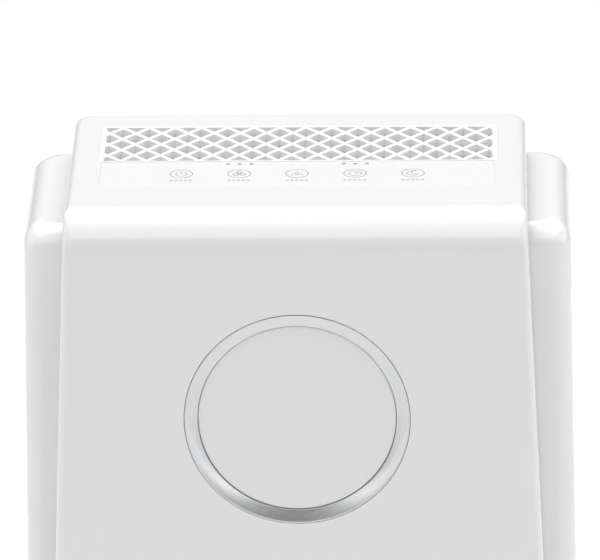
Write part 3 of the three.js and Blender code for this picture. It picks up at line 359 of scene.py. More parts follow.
def surface(name, colour, shade, roughness, texture_scale, bump_height, tint_scale=9.0, **sockets):
    """Moulded, painted or cast stuff: a base colour that drifts to a second one, and a fine skin."""
    material = bpy.data.materials.new(name)
    material.use_nodes = True
    tree = material.node_tree
    shader = tree.nodes["Principled BSDF"]
    tint = blend_colours(tree, noise(tree, tint_scale, 4), colour, shade)
    tree.links.new(tint, shader.inputs["Base Color"])
    skin = noise(tree, texture_scale, 2)
    tree.links.new(spread(tree, skin, *roughness), shader.inputs["Roughness"])
    bump(tree, shader, skin, bump_height)
    for key, value in sockets.items():
        shader.inputs[key.replace("_", " ")].default_value = value
    return material


def brushed_ring():
    """Turned aluminium: fine grooves round the axis, from the distance to the ring's centre."""
    material = bpy.data.materials.new("turned_aluminium")
    material.use_nodes = True
    tree = material.node_tree
    shader = tree.nodes["Principled BSDF"]
    shader.inputs["Metallic"].default_value = 1.0
    shader.inputs["Anisotropic"].default_value = 0.75
    coordinates = add_node(tree, "ShaderNodeTexCoord")
    offset = add_node(tree, "ShaderNodeVectorMath", operation="SUBTRACT")
    offset.inputs[1].default_value = (0, 0, RING_Z)
    flat = add_node(tree, "ShaderNodeVectorMath", operation="MULTIPLY")
    flat.inputs[1].default_value = (1, 0, 1)
    distance = add_node(tree, "ShaderNodeVectorMath", operation="LENGTH")
    tree.links.new(coordinates.outputs["Object"], offset.inputs[0])
    tree.links.new(offset.outputs["Vector"], flat.inputs[0])
    tree.links.new(flat.outputs["Vector"], distance.inputs[0])
    grooves = add_node(tree, "ShaderNodeTexNoise", noise_dimensions="1D")
    grooves.inputs["Scale"].default_value = 5200
    grooves.inputs["Detail"].default_value = 3
    tree.links.new(distance.outputs["Value"], grooves.inputs["W"])
    tree.links.new(spread(tree, grooves.outputs["Fac"], 0.19, 0.31), shader.inputs["Roughness"])
    tint = blend_colours(tree, grooves.outputs["Fac"], (0.64, 0.655, 0.67), (0.77, 0.78, 0.79))
    tree.links.new(tint, shader.inputs["Base Color"])
    tangent = add_node(tree, "ShaderNodeTangent", direction_type="RADIAL", axis="Y")
    tree.links.new(tangent.outputs["Tangent"], shader.inputs["Tangent"])
    bump(tree, shader, grooves.outputs["Fac"], 0.006 * MM)
    return material


def granules():
    """Activated carbon seen through a black net: packed grains with glints, each grain painted darker towards its
    rim as painted shade in the gaps between the grains.
    """
    material = bpy.data.materials.new("carbon_granules")
    material.use_nodes = True
    tree = material.node_tree
    shader = tree.nodes["Principled BSDF"]
    coordinates = add_node(tree, "ShaderNodeTexCoord")
    cells = add_node(tree, "ShaderNodeTexVoronoi")
    cells.inputs["Scale"].default_value = 420
    tree.links.new(coordinates.outputs["Object"], cells.inputs["Vector"])
    # painted shade: grain middles lighter, darker where neighbouring grains meet
    tint = blend_colours(tree, cells.outputs["Distance"], (0.045, 0.046, 0.05), (0.012, 0.012, 0.014))
    tree.links.new(tint, shader.inputs["Base Color"])
    tree.links.new(spread(tree, noise(tree, 900), 0.45, 0.85), shader.inputs["Roughness"])
    bump(tree, shader, cells.outputs["Distance"], -0.9 * MM)
    return material


WHITE = (0.90, 0.90, 0.905)
M = {
    "gloss": surface("gloss_white", WHITE, (0.885, 0.887, 0.895), (0.13, 0.19), 700, 0.0012 * MM,
                     Coat_Weight=0.35, Coat_Roughness=0.06),
    "satin": surface("satin_white", (0.91, 0.91, 0.912), (0.895, 0.897, 0.90), (0.3, 0.4), 2600, 0.003 * MM),
    "overlay": surface("overlay_white", (0.865, 0.865, 0.867), (0.855, 0.856, 0.86), (0.2, 0.28), 1900,
                       0.0015 * MM),
    "print": surface("grey_print", (0.2, 0.205, 0.215), (0.25, 0.255, 0.27), (0.4, 0.55), 3000, 0.001 * MM),
    "label": surface("pale_print", (0.4, 0.41, 0.43), (0.46, 0.47, 0.49), (0.4, 0.55), 3000, 0.001 * MM),
    "lamp": surface("lamp_window", (0.42, 0.44, 0.47), (0.50, 0.52, 0.56), (0.1, 0.2), 1500, 0.001 * MM,
                    Coat_Weight=0.5),
    "inner": surface("inner_moulding", (0.74, 0.75, 0.76), (0.69, 0.70, 0.72), (0.42, 0.6), 1800, 0.01 * MM),
    "rubber": surface("foot_rubber", (0.028, 0.028, 0.03), (0.045, 0.045, 0.046), (0.7, 0.9), 1300, 0.02 * MM),
    "steel": surface("plated_steel", (0.58, 0.59, 0.61), (0.68, 0.68, 0.69), (0.22, 0.38), 1500, 0.002 * MM,
                     Metallic=1.0),
    "black": surface("black_moulding", (0.022, 0.022, 0.024), (0.034, 0.034, 0.036), (0.4, 0.58), 2300,
                     0.012 * MM),
    "board": surface("solder_mask", (0.012, 0.10, 0.045), (0.018, 0.13, 0.06), (0.25, 0.4), 1400, 0.004 * MM,
                     tint_scale=300),
    "paper": surface("pleated_paper", (0.86, 0.85, 0.80), (0.80, 0.79, 0.74), (0.8, 0.95), 900, 0.05 * MM,
                     tint_scale=60),
    "clear": surface("clear_guide", (0.86, 0.90, 0.93), (0.82, 0.87, 0.91), (0.05, 0.12), 900, 0.001 * MM,
                     Transmission_Weight=0.8),
    "wire": surface("wire_sleeve", (0.04, 0.04, 0.045), (0.06, 0.06, 0.065), (0.45, 0.6), 1500, 0.01 * MM),
    "aluminium": brushed_ring(),
    "carbon": granules(),
}


def dress(obj, material):
    obj.data.materials.clear()
    obj.data.materials.append(M[material])


def piece(obj, material, body, slot, *nodes):
    """A finished piece: its material, the body it rides on and the nodes it stands for; the record slot argument
    is not used.
    """
    dress(obj, material)
    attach(obj, body)
    if nodes:
        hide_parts(*nodes)
    return obj


# ---- casing --------------------------------------------------------------------------------------

def plan_ring(z, half, front, rear, front_radius, rear_radius, steps):
    corners = [
        (half - rear_radius, rear - rear_radius, rear_radius, 0),
        (rear_radius - half, rear - rear_radius, rear_radius, 1),
        (front_radius - half, front + front_radius, front_radius, 2),
        (half - front_radius, front + front_radius, front_radius, 3),
    ]
    ring = []
    for x, y, radius, quarter in corners:
        for i in range(steps + 1):
            angle = math.pi / 2 * (quarter + i / steps)
            ring.append(Vector((x + radius * math.cos(angle), y + radius * math.sin(angle), z)))
    return ring


def edge_inset(radius, depth):
    """How far a rounded top edge has drawn in at a depth below the top face."""
    if depth >= radius:
        return 0.0
    return radius - math.sqrt(radius ** 2 - (radius - depth) ** 2)


def rounded_block(name, form, bottom, inset=0.0, steps=10):
    """A block with spreading sides, round upright corners and a rounded top, drawn in by the inset."""
    thinnest = 0.8 * MM
    lid = form["top"] - inset
    front_edge, side_edge, rear_edge = [max(r - inset, thinnest) for r in form["edges"]]
    front_corner, rear_corner = [max(r - inset, thinnest) for r in form["corners"]]
    depths = {0.0}
    for radius, count in ((front_edge, 2 * steps), (side_edge, steps), (rear_edge, steps)):
        depths.update(radius * (1 - math.sin(math.pi / 2 * i / count)) for i in range(count))
    levels = [bottom]
    for depth in sorted(depths, reverse=True):
        if lid - depth - levels[-1] > 2e-6:
            levels.append(lid - depth)
    rings = [plan_ring(
        z,
        form["half"](z) - inset - edge_inset(side_edge, lid - z),
        form["front"] + inset + edge_inset(front_edge, lid - z),
        form["rear"] - inset - edge_inset(rear_edge, lid - z),
        front_corner, rear_corner, steps) for z in levels]
    return loft(name, rings)


HOOD_FORM = {
    "top": TOP, "half": hood_half, "front": FRONT, "rear": REAR,
    "corners": (HOOD_CORNER, HOOD_REAR_CORNER), "edges": (HOOD_BROW, HOOD_CORNER, HOOD_REAR_EDGE),
}
HOUSING_FORM = {
    "top": HOUSING_TOP, "half": housing_half, "front": HOUSING_FRONT, "rear": HOUSING_HIGH.y,
    "corners": (HOUSING_CORNER, HOUSING_CORNER), "edges": (HOUSING_BROW, HOUSING_CORNER, HOUSING_REAR_EDGE),
}


CUP_HOLE = RING_RADIUS - 18 * MM
RING_GAP = 0.25 * MM


def front_hood():
    """The front and top shell, open behind, with a cup for the ring and a pocket for the touch panel."""
    hood = rounded_block("hood_shell", HOOD_FORM, SHELL_BOTTOM)
    inside = rounded_block("inside", HOOD_FORM, SHELL_BOTTOM - WALL, WALL, 4)
    behind = block("behind", (-FAR, HOUSING_FRONT - FIT, 0), (FAR, FAR, HOUSING_TOP + FIT))
    carve(hood, "DIFFERENCE", inside, behind)
    seat = RING_HIGH.y + FIT
    cup = turned("cup", [(CUP_HOLE, seat - 1 * MM), (CUP_HOLE, seat + 2 * MM),
                         (RING_RADIUS + WALL, seat + 2 * MM), (RING_RADIUS + WALL, FRONT + 1 * MM),
                         (CUP_HOLE, FRONT + 1 * MM)], (0, RING_Z), 96)
    carve(hood, "UNION", cup)
    lattice = prism("lattice", "z", rounded_outline(GRILLE_LOW.x - SEAM, GRILLE_HIGH.x + SEAM,
                                                    GRILLE_LOW.y - SEAM, GRILLE_HIGH.y + SEAM, 1 * MM),
                    TOP - 2 * WALL, TOP + WALL)
    slot = block("slot", (OVERLAY_LOW.x - SEAM, OVERLAY_HIGH.y - 1 * MM, TOP - 2 * WALL),
                 (OVERLAY_HIGH.x + SEAM, GRILLE_LOW.y + 1 * MM, TOP + WALL))
    pocket = prism("pocket", "z", overlay_outline(SEAM), OVERLAY_LOW.z - FIT, TOP + WALL)
    seat_hole = prism("seat_hole", "y", circle_outline(0, RING_Z, RING_RADIUS + RING_GAP, 160),
                      FRONT - WALL, seat)
    back_hole = prism("back_hole", "y", circle_outline(0, RING_Z, CUP_HOLE, 64), FRONT - WALL, seat + WALL)
    carve(hood, "DIFFERENCE", lattice, slot, pocket, seat_hole, back_hole)
    soften(hood, 0.15 * MM)
    return piece(hood, "gloss", "casing", "shell", "front_hood")


def overlay_outline(grow):
    """The overlay's outline: round corners in front, square ones where it meets the lattice."""
    radius = 6 * MM
    half = OVERLAY_HIGH.x + grow
    front = OVERLAY_LOW.y - grow
    rear = OVERLAY_HIGH.y + grow
    points = [(half, rear), (-half, rear)]
    for x, start in ((radius - half, 2), (half - radius, 3)):
        for i in range(9):
            angle = math.pi / 2 * (start + i / 8)
            points.append((x + radius * math.cos(angle), front + radius + radius * math.sin(angle)))
    return points


NOTCH_HALF = 25 * MM
NOTCH_HEIGHT = 12 * MM
GRIP_HALF = 60 * MM
GRIP_LOW = DOOR_HIGH.z + 30 * MM
GRIP_HEIGHT = 32 * MM
GRIP_DEPTH = 26 * MM
GRIP_CORNER = 8 * MM
GRIP_BOX_CORNER = 10 * MM
NOTCH_CORNER = 6 * MM
DUCT_MARGIN = 2 * MM
WINDOW_DROP = 20 * MM
DOOR_GAP = 0.6 * MM


def rear_housing():
    """The wings and the back, with the doorway, a grip, a finger notch and the mains inlet's hole."""
    housing = rounded_block("housing_shell", HOUSING_FORM, SHELL_BOTTOM)
    inside = rounded_block("inside", HOUSING_FORM, SHELL_BOTTOM - WALL, WALL, 4)
    carve(housing, "DIFFERENCE", inside)
    skin = REAR - WALL
    jamb_half = DOOR_HIGH.x + DOOR_GAP
    jamb_low = DOOR_LOW.z - DOOR_GAP
    jamb_high = DOOR_HIGH.z + DOOR_GAP
    jamb_front = BAY_HIGH.y + FIT
    notch_top = jamb_high + NOTCH_HEIGHT
    grip_top = GRIP_LOW + GRIP_HEIGHT
    deep = skin + 1 * MM
    jamb = block("jamb", (-jamb_half - WALL, jamb_front, jamb_low - WALL),
                 (jamb_half + WALL, deep, jamb_high + WALL))
    notch_box = block("notch_box", (-NOTCH_HALF - WALL, jamb_front, jamb_high - 1 * MM),
                      (NOTCH_HALF + WALL, deep, notch_top + WALL))
    grip_box = prism("grip_box", "y", rounded_outline(-GRIP_HALF - WALL, GRIP_HALF + WALL, GRIP_LOW - WALL,
                                                      grip_top + WALL, GRIP_BOX_CORNER),
                     REAR - GRIP_DEPTH - WALL, deep)
    carve(housing, "UNION", jamb, notch_box, grip_box)
    window = block("window", (-WINDOW_HALF, HOUSING_FRONT - WALL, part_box("power_board")[0].z),
                   (WINDOW_HALF, HOUSING_FRONT + 2 * WALL, HOUSING_TOP - WINDOW_DROP))
    duct_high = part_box("outlet_duct")[1]
    duct_window = block("duct_window", (GRILLE_LOW.x - DUCT_MARGIN, GRILLE_LOW.y - 4 * MM, HOUSING_TOP - 10 * MM),
                        (GRILLE_HIGH.x + DUCT_MARGIN, duct_high.y, HOUSING_TOP + WALL))
    doorway = prism("doorway", "y", rounded_outline(-jamb_half, jamb_half, jamb_low, jamb_high, 1 * MM),
                    jamb_front - WALL, REAR + WALL)
    notch = prism("notch", "y", rounded_outline(-NOTCH_HALF, NOTCH_HALF, jamb_high - NOTCH_HEIGHT, notch_top,
                                                NOTCH_CORNER), jamb_front + 2 * MM, REAR + WALL)
    grip = prism("grip", "y", rounded_outline(-GRIP_HALF, GRIP_HALF, GRIP_LOW, grip_top, GRIP_CORNER),
                 REAR - GRIP_DEPTH, REAR + WALL)
    inlet = prism("inlet", "y", rounded_outline(INLET_LOW.x - FIT, INLET_HIGH.x + FIT, INLET_LOW.z - FIT,
                                                INLET_HIGH.z + FIT, 2 * MM), skin - WALL, REAR + WALL)
    carve(housing, "DIFFERENCE", window, duct_window, doorway, notch, grip, inlet)
    soften(housing, 0.5 * MM)
    return piece(housing, "gloss", "casing", "shell", "rear_housing")


POST_X = 60 * MM
POST_HALF = 4 * MM
POST_REACH = 4.4 * MM
FRONT_TRAY_DEPTH = 30 * MM
SCREW_HOLE = 2.3 * MM
PIN_HOLE = 2.35 * MM


def base_tray():
    """The floor of the casing, with screw holes and two posts behind the power board."""
    inset = 2 * MM
    split = HOUSING_FRONT + FRONT_TRAY_DEPTH
    hood_foot = hood_half(SHELL_BOTTOM) - inset
    top = SHELL_BOTTOM - FIT
    front = prism("tray", "z", rounded_outline(-hood_foot, hood_foot, FRONT + inset, split, HOOD_CORNER),
                  TRAY_LOW.z, top)
    rear = prism("rear", "z", rounded_outline(TRAY_LOW.x, TRAY_HIGH.x, HOUSING_FRONT + inset, REAR - inset,
                                              HOUSING_CORNER), TRAY_LOW.z, top)
    carve(front, "UNION", rear)
    holes = []
    for i in range(1, 5):
        low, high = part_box(f"base_screw_{i}")
        centre = (low + high) / 2
        holes.append(prism("hole", "z", circle_outline(centre.x, centre.y, SCREW_HOLE, 24), 0, TOP))
    carve(front, "DIFFERENCE", *holes)
    board_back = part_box("power_board")[1].y
    posts = [block("post", (side * POST_X - POST_HALF, board_back + FIT, top - 1 * MM),
                   (side * POST_X + POST_HALF, board_back + POST_REACH, TRAY_HIGH.z)) for side in (-1, 1)]
    carve(front, "UNION", *posts)
    soften(front, 0.6 * MM)
    return piece(front, "inner", "casing", "inner", "base_tray")


def feet():
    """Rubber feet with a rounded rim and a shallow dish in the sole."""
    for i in range(1, 5):
        low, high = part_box(f"foot_{i}")
        radius = (high.x - low.x) / 2
        centre = (low + high) / 2
        edge = 1.2 * MM
        profile = [(0, high.z), (radius, high.z), (radius, low.z + edge)]
        profile += [(radius - edge + edge * math.cos(a), low.z + edge - edge * math.sin(a))
                    for a in (math.pi / 8 * k for k in range(1, 5))]
        profile += [(radius * 0.62, low.z), (radius * 0.56, low.z + 0.8 * MM), (0, low.z + 0.8 * MM)]
        foot = spun(f"rubber_foot_{i}", profile, centre.x, centre.y)
        piece(smooth(foot), "rubber", "casing", "rubber", f"foot_{i}")


# ---- lattice and touch panel ---------------------------------------------------------------------

LATTICE_COLUMNS = 15
LATTICE_ROWS = 3
LATTICE_PITCH = Vector((16 * MM, 18.6 * MM))
LATTICE_TAPER = (0.62, 0.78)  # the opening as a share of the pitch, below and above
LATTICE_HALF = ((LATTICE_COLUMNS - 0.5) * LATTICE_PITCH.x) / 2 + 2 * MM
LATTICE_FRONT = GRILLE_LOW.y + 1.5 * MM
LATTICE_REAR = LATTICE_FRONT + LATTICE_ROWS * LATTICE_PITCH.y


def clipped(points, keep, cross):
    """The part of a convex outline on the kept side of one straight edge."""
    result = []
    for i, point in enumerate(points):
        following = points[(i + 1) % len(points)]
        if keep(point):
            result.append(point)
        if keep(point) != keep(following):
            result.append(cross(point, following))
    return result


def at_x(x):
    return lambda p, q: (x, p[1] + (q[1] - p[1]) * (x - p[0]) / (q[0] - p[0]))


def at_y(y):
    return lambda p, q: (p[0] + (q[0] - p[0]) * (y - p[1]) / (q[1] - p[1]), y)


def lattice_openings(share):
    """The outline of each hole, cut off at the edges of the field."""
    reach = LATTICE_PITCH * share / 2
    for row in range(2 * LATTICE_ROWS + 1):
        y = LATTICE_REAR - row * LATTICE_PITCH.y / 2
        shift = 0 if row % 2 == 0 else LATTICE_PITCH.x / 2
        for column in range(LATTICE_COLUMNS):
            x = -LATTICE_HALF + 2 * MM + shift + column * LATTICE_PITCH.x
            points = [(x + reach.x, y), (x, y + reach.y), (x - reach.x, y), (x, y - reach.y)]
            points = clipped(points, lambda p: p[0] > -LATTICE_HALF, at_x(-LATTICE_HALF))
            points = clipped(points, lambda p: p[0] < LATTICE_HALF, at_x(LATTICE_HALF))
            points = clipped(points, lambda p: p[1] > LATTICE_FRONT, at_y(LATTICE_FRONT))
            yield clipped(points, lambda p: p[1] < LATTICE_REAR, at_y(LATTICE_REAR))


def outlet_grille():
    """The plate, with diamond holes that widen from the underside to the top."""
    plate = prism("lattice_plate", "z", rounded_outline(GRILLE_LOW.x, GRILLE_HIGH.x, GRILLE_LOW.y, GRILLE_HIGH.y,
                                                        1 * MM), GRILLE_LOW.z, TOP)
    levels = (GRILLE_LOW.z - 0.5 * MM, TOP + 0.5 * MM)
    holes = []
    for pair in zip(*(lattice_openings(share) for share in LATTICE_TAPER)):
        holes.append(loft("hole", [[Vector((x, y, z)) for x, y in points] for points, z in zip(pair, levels)]))
    holes = joined("holes", holes)
    carve(plate, "DIFFERENCE", holes)
    soften(plate, 0.22 * MM)
    return piece(plate, "satin", "casing", "insert", "outlet_grille")


PRINT_HEIGHT = 0.03 * MM
LAMP_DOME = 0.12 * MM  # the panel sits lower than the hood by this, so the lamps end level with it
PANEL_TOP = TOP - LAMP_DOME
KEY_RADIUS = 7 * MM
LAMP_RADIUS = 1.45 * MM
LAMP_PITCH = 7.1 * MM
DASH_PITCH = 2.9 * MM
DASH_HALF = 1 * MM
DASH_DEPTH = 1.9 * MM
LINE = 0.5 * MM
LABEL_Y = KEY_Y - 11 * MM


def stroke(points, width=LINE, closed=False):
    """The outline of a line of constant width along points."""
    count = len(points)
    left = []
    right = []
    for i, (x, y) in enumerate(points):
        before = points[i - 1] if closed or i > 0 else points[i]
        after = points[(i + 1) % count] if closed or i + 1 < count else points[i]
        along = Vector((after[0] - before[0], after[1] - before[1])).normalized()
        across = Vector((-along.y, along.x)) * width / 2
        left.append((x + across.x, y + across.y))
        right.append((x - across.x, y - across.y))
    return left, right


def line_mark(points, width=LINE, closed=False):
    """A printed line as a thin solid."""
    left, right = stroke(points, width, closed)
    count = len(points)
    levels = (PANEL_TOP, PANEL_TOP + PRINT_HEIGHT)
    vertices = [Vector((x, y, z)) for z in levels for side in (left, right) for x, y in side]
    lower_left, lower_right, upper_left, upper_right = 0, count, 2 * count, 3 * count
    faces = []
    for i in range(count if closed else count - 1):
        j = (i + 1) % count
        faces.append((upper_left + i, upper_left + j, upper_right + j, upper_right + i))
        faces.append((lower_left + i, lower_right + i, lower_right + j, lower_left + j))
        faces.append((lower_left + i, lower_left + j, upper_left + j, upper_left + i))
        faces.append((lower_right + i, upper_right + i, upper_right + j, lower_right + j))
    if not closed:
        for i in (0, count - 1):
            faces.append((lower_left + i, upper_left + i, upper_right + i, lower_right + i))
    return new_object("line", vertices, faces)


def arc(x, y, radius, start, end, steps=24):
    angles = [math.radians(start + (end - start) * i / steps) for i in range(steps + 1)]
    return [(x + radius * math.cos(a), y + radius * math.sin(a)) for a in angles]


def ring_mark(x, y, radius, width=LINE):
    return line_mark(arc(x, y, radius, 0, 360, 48)[:-1], width, closed=True)


def power_glyph(x, y):
    return [line_mark(arc(x, y - 0.3 * MM, 3.3 * MM, 125, 415)),
            line_mark([(x, y + 0.3 * MM), (x, y + 4.2 * MM)])]


def fan_glyph(x, y):
    marks = [ring_mark(x, y, 0.8 * MM)]
    for turn in (90, 210, 330):
        angle = math.radians(turn)
        centre = (x + 2.5 * MM * math.cos(angle), y + 2.5 * MM * math.sin(angle))
        marks.append(ring_mark(*centre, 1.6 * MM))
    return marks


def ion_glyph(x, y):
    peak = [(x - 3.9 * MM, y - 2.7 * MM), (x, y + 3.9 * MM), (x + 3.9 * MM, y - 2.7 * MM)]
    return [line_mark(peak, closed=True), ring_mark(x, y - 0.6 * MM, 1.1 * MM)]


def timer_glyph(x, y):
    return [ring_mark(x, y, 3.8 * MM), line_mark([(x, y + 2.5 * MM), (x, y), (x + 2 * MM, y)])]


def moon_glyph(x, y):
    outer = arc(x, y, 3.7 * MM, 60, 330, 30)
    inner = arc(x + 1.9 * MM, y + 1.15 * MM, 3 * MM, 300, 90, 20)
    return [line_mark(outer + inner, closed=True)]


def touch_overlay():
    """The touch panel, its printed keys with their dashes, and two groups of three lamp windows."""
    plate = prism("overlay_plate", "z", overlay_outline(0), OVERLAY_LOW.z, PANEL_TOP)
    soften(plate, 0.12 * MM)
    piece(plate, "overlay", "casing", "insert", "touch_overlay")
    marks = []
    labels = []
    for x, glyph in zip(KEY_X, (power_glyph, fan_glyph, ion_glyph, timer_glyph, moon_glyph)):
        marks.append(ring_mark(x, KEY_Y, KEY_RADIUS - LINE / 2))
        marks += glyph(x, KEY_Y)
        for step in range(-2, 3):
            dash = x + step * DASH_PITCH
            labels.append(line_mark([(dash - DASH_HALF, LABEL_Y), (dash + DASH_HALF, LABEL_Y)], DASH_DEPTH))
    piece(joined("key_print", marks), "print", "casing", "insert")
    piece(joined("key_labels", labels), "label", "casing", "insert")
    lamps = []
    for x in (KEY_X[1], KEY_X[3]):
        for step in (-1, 0, 1):
            root = PANEL_TOP - 0.3 * MM
            profile = [(0, root), (LAMP_RADIUS, root), (LAMP_RADIUS, PANEL_TOP + 0.02 * MM),
                       (LAMP_RADIUS * 0.6, PANEL_TOP + 0.75 * LAMP_DOME), (0, TOP)]
            lamps.append(spun("lamp", profile, x + step * LAMP_PITCH, LAMP_Y, 24))
    piece(smooth(joined("lamp_windows", lamps), 50), "lamp", "casing", "clear")


# ---- ring and disc -------------------------------------------------------------------------------

def ring_bezel():
    """A turned ring whose front face slopes back to the disc."""
    inner = DISC_HIGH.x + FIT
    front = RING_LOW.y
    recess = 2.2 * MM
    lip = 0.45 * MM
    profile = [
        (RING_RADIUS, RING_HIGH.y), (RING_RADIUS, front + lip), (RING_RADIUS - lip * 0.3, front + lip * 0.3),
        (RING_RADIUS - lip, front), (RING_RADIUS - 1.1 * MM, front + 0.12 * MM),
        (inner + 0.7 * MM, front + recess - 0.2 * MM), (inner + 0.15 * MM, front + recess),
        (inner, front + recess + 0.3 * MM), (inner, RING_HIGH.y),
    ]
    ring = turned("turned_ring", profile, (0, RING_Z), 200)
    piece(smooth(ring, 40), "aluminium", "casing", "aluminium", "ring_bezel")


def front_disc():
    """The disc inside the ring, slightly dished, with a rounded edge."""
    radius = DISC_HIGH.x
    face = DISC_LOW.y
    dome = 0.5 * MM
    edge = 0.5 * MM
    profile = [(0, DISC_HIGH.y), (radius, DISC_HIGH.y), (radius, face + dome + edge)]
    profile += [(radius - edge + edge * math.cos(a), face + dome + edge - edge * math.sin(a))
                for a in (math.pi / 8 * k for k in range(1, 5))]
    steps = 12
    for i in range(1, steps + 1):
        r = (radius - edge) * (1 - i / steps)
        profile.append((r, face + dome * (r / (radius - edge)) ** 2))
    disc = spun("disc_face", [(r, -y) for r, y in profile], 0, 0, 160)
    disc.data.transform(Matrix.Translation((0, 0, RING_Z)) @ Matrix.Rotation(math.pi / 2, 4, "X"))
    piece(smooth(disc, 40), "gloss", "casing", "shell", "front_disc")


# ---- door and filters ----------------------------------------------------------------------------

SLOT_ROWS = 17
SLOT_PITCH = 15 * MM
SLOT_HEIGHT = 5 * MM
SLOT_LENGTH = 104 * MM


def rear_door():
    """The slotted door, with a hinge barrel along its foot and seats for the magnets."""
    hinge = HINGE_Z - DOOR_LOW.z
    half = DOOR_HIGH.x
    inner = REAR - 8 * MM
    skin = 2.5 * MM
    door = prism("door_panel", "y", rounded_outline(-half, half, HINGE_Z, DOOR_HIGH.z, 1 * MM), inner, REAR)
    barrel = prism("barrel", "x", circle_outline(HINGE_Y, HINGE_Z, hinge, 48), -half, half)
    carve(door, "UNION", barrel)
    hollow = prism("hollow", "y", rounded_outline(-half + WALL, half - WALL, HINGE_Z + hinge, DOOR_HIGH.z - WALL,
                                                  2 * MM), inner - WALL, REAR - skin)
    carve(door, "DIFFERENCE", hollow)
    rib = block("rib", (-WALL / 2, inner, HINGE_Z + 1 * MM), (WALL / 2, REAR - 1 * MM, DOOR_HIGH.z - 1 * MM))
    seats = []
    for side in ("left", "right"):
        low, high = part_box(f"door_magnet_{side}")
        grow = 1.5 * MM
        seats.append(block("seat", (low.x - grow, inner + FIT, low.z - grow),
                           (high.x + grow, REAR - 1 * MM, high.z + grow)))
    carve(door, "UNION", rib, *seats)
    middle = (PRE_LOW.z + PRE_HIGH.z) / 2
    slots = []
    for row in range(SLOT_ROWS):
        z = middle + (row - (SLOT_ROWS - 1) / 2) * SLOT_PITCH
        for side in (-1, 1):
            x = side * (SLOT_LENGTH + 3 * WALL) / 2
            outline = rounded_outline(x - SLOT_LENGTH / 2, x + SLOT_LENGTH / 2, z - SLOT_HEIGHT / 2,
                                      z + SLOT_HEIGHT / 2, SLOT_HEIGHT / 2)
            slots.append(prism("slot", "y", outline, REAR - skin - 0.5 * MM, REAR + WALL))
    pins = [prism("pin", "x", circle_outline(HINGE_Y, HINGE_Z, PIN_HOLE, 24), side * half - 8 * MM,
                  side * half + 8 * MM) for side in (-1, 1)]
    carve(door, "DIFFERENCE", joined("slots", slots), *pins)
    soften(door, 0.4 * MM)
    return piece(door, "gloss", "door", "shell", "rear_door")


def pre_filter():
    """A black frame with ribs, and a net of fine strands across it."""
    columns = 5
    rows = 6
    rib = 4 * MM
    frame_part = prism("pre_frame", "y", rounded_outline(PRE_LOW.x, PRE_HIGH.x, PRE_LOW.z, PRE_HIGH.z, 2 * MM),
                       PRE_LOW.y, PRE_HIGH.y)
    step_x = (PRE_HIGH.x - PRE_LOW.x - rib) / columns
    step_z = (PRE_HIGH.z - PRE_LOW.z - rib) / rows
    windows = []
    for i in range(columns):
        for k in range(rows):
            x = PRE_LOW.x + rib + i * step_x
            z = PRE_LOW.z + rib + k * step_z
            outline = rounded_outline(x, x + step_x - rib, z, z + step_z - rib, 2 * MM, 3)
            windows.append(prism("window", "y", outline, PRE_LOW.y - WALL, PRE_HIGH.y + WALL))
    carve(frame_part, "DIFFERENCE", joined("windows", windows))
    soften(frame_part, 0.4 * MM)
    piece(frame_part, "black", "door", "black", "pre_filter")
    strand = 0.45 * MM
    pitch = 2.2 * MM
    y = PRE_LOW.y + 1.2 * MM
    strands = []
    across = int((PRE_HIGH.x - PRE_LOW.x - 2 * rib) / pitch)
    along = int((PRE_HIGH.z - PRE_LOW.z - 2 * rib) / pitch)
    for i in range(1, across):
        x = PRE_LOW.x + rib + i * pitch
        strands.append(block("strand", (x - strand / 2, y, PRE_LOW.z + rib / 2),
                             (x + strand / 2, y + strand, PRE_HIGH.z - rib / 2)))
    for k in range(1, along):
        z = PRE_LOW.z + rib + k * pitch
        strands.append(block("strand", (PRE_LOW.x + rib / 2, y + strand, z - strand / 2),
                             (PRE_HIGH.x - rib / 2, y + 2 * strand, z + strand / 2)))
    piece(joined("pre_net", strands), "black", "door", "black")


def carbon_filter():
    """A card frame round a bed of granules, under a honeycomb of thin ribs on the side that shows."""
    edge = 9 * MM
    frame_part = prism("carbon_frame", "y", rounded_outline(CARBON_LOW.x, CARBON_HIGH.x, CARBON_LOW.z,
                                                            CARBON_HIGH.z, 1.5 * MM), CARBON_LOW.y, CARBON_HIGH.y)
    bed_box = rounded_outline(CARBON_LOW.x + edge, CARBON_HIGH.x - edge, CARBON_LOW.z + edge, CARBON_HIGH.z - edge,
                              3 * MM)
    carve(frame_part, "DIFFERENCE", prism("room", "y", bed_box, CARBON_LOW.y - WALL, CARBON_HIGH.y + WALL))
    soften(frame_part, 0.4 * MM)
    piece(frame_part, "black", "casing", "carbon", "carbon_filter")
    bed = prism("carbon_bed", "y", bed_box, CARBON_LOW.y + 1.5 * MM, CARBON_HIGH.y - 2 * MM)
    piece(soften(bed, 0.2 * MM), "carbon", "casing", "carbon")
    cell = 9 * MM
    column_pitch = cell * 0.866
    row_pitch = cell * 0.75
    ribs = []
    left = CARBON_LOW.x + edge
    right = CARBON_HIGH.x - edge
    low = CARBON_LOW.z + edge
    high = CARBON_HIGH.z - edge
    y = CARBON_HIGH.y - 1.9 * MM
    row = 0
    z = low + cell / 2
    while z < high - cell / 2:
        x = left + cell / 2 + (column_pitch / 2 if row % 2 else 0)
        while x < right - cell / 2:
            ribs.append(hexagon_rib(x, z, cell / 2, y, CARBON_HIGH.y - 0.5 * MM))
            x += column_pitch
        z += row_pitch
        row += 1
    piece(joined("carbon_honeycomb", ribs), "black", "casing", "carbon")


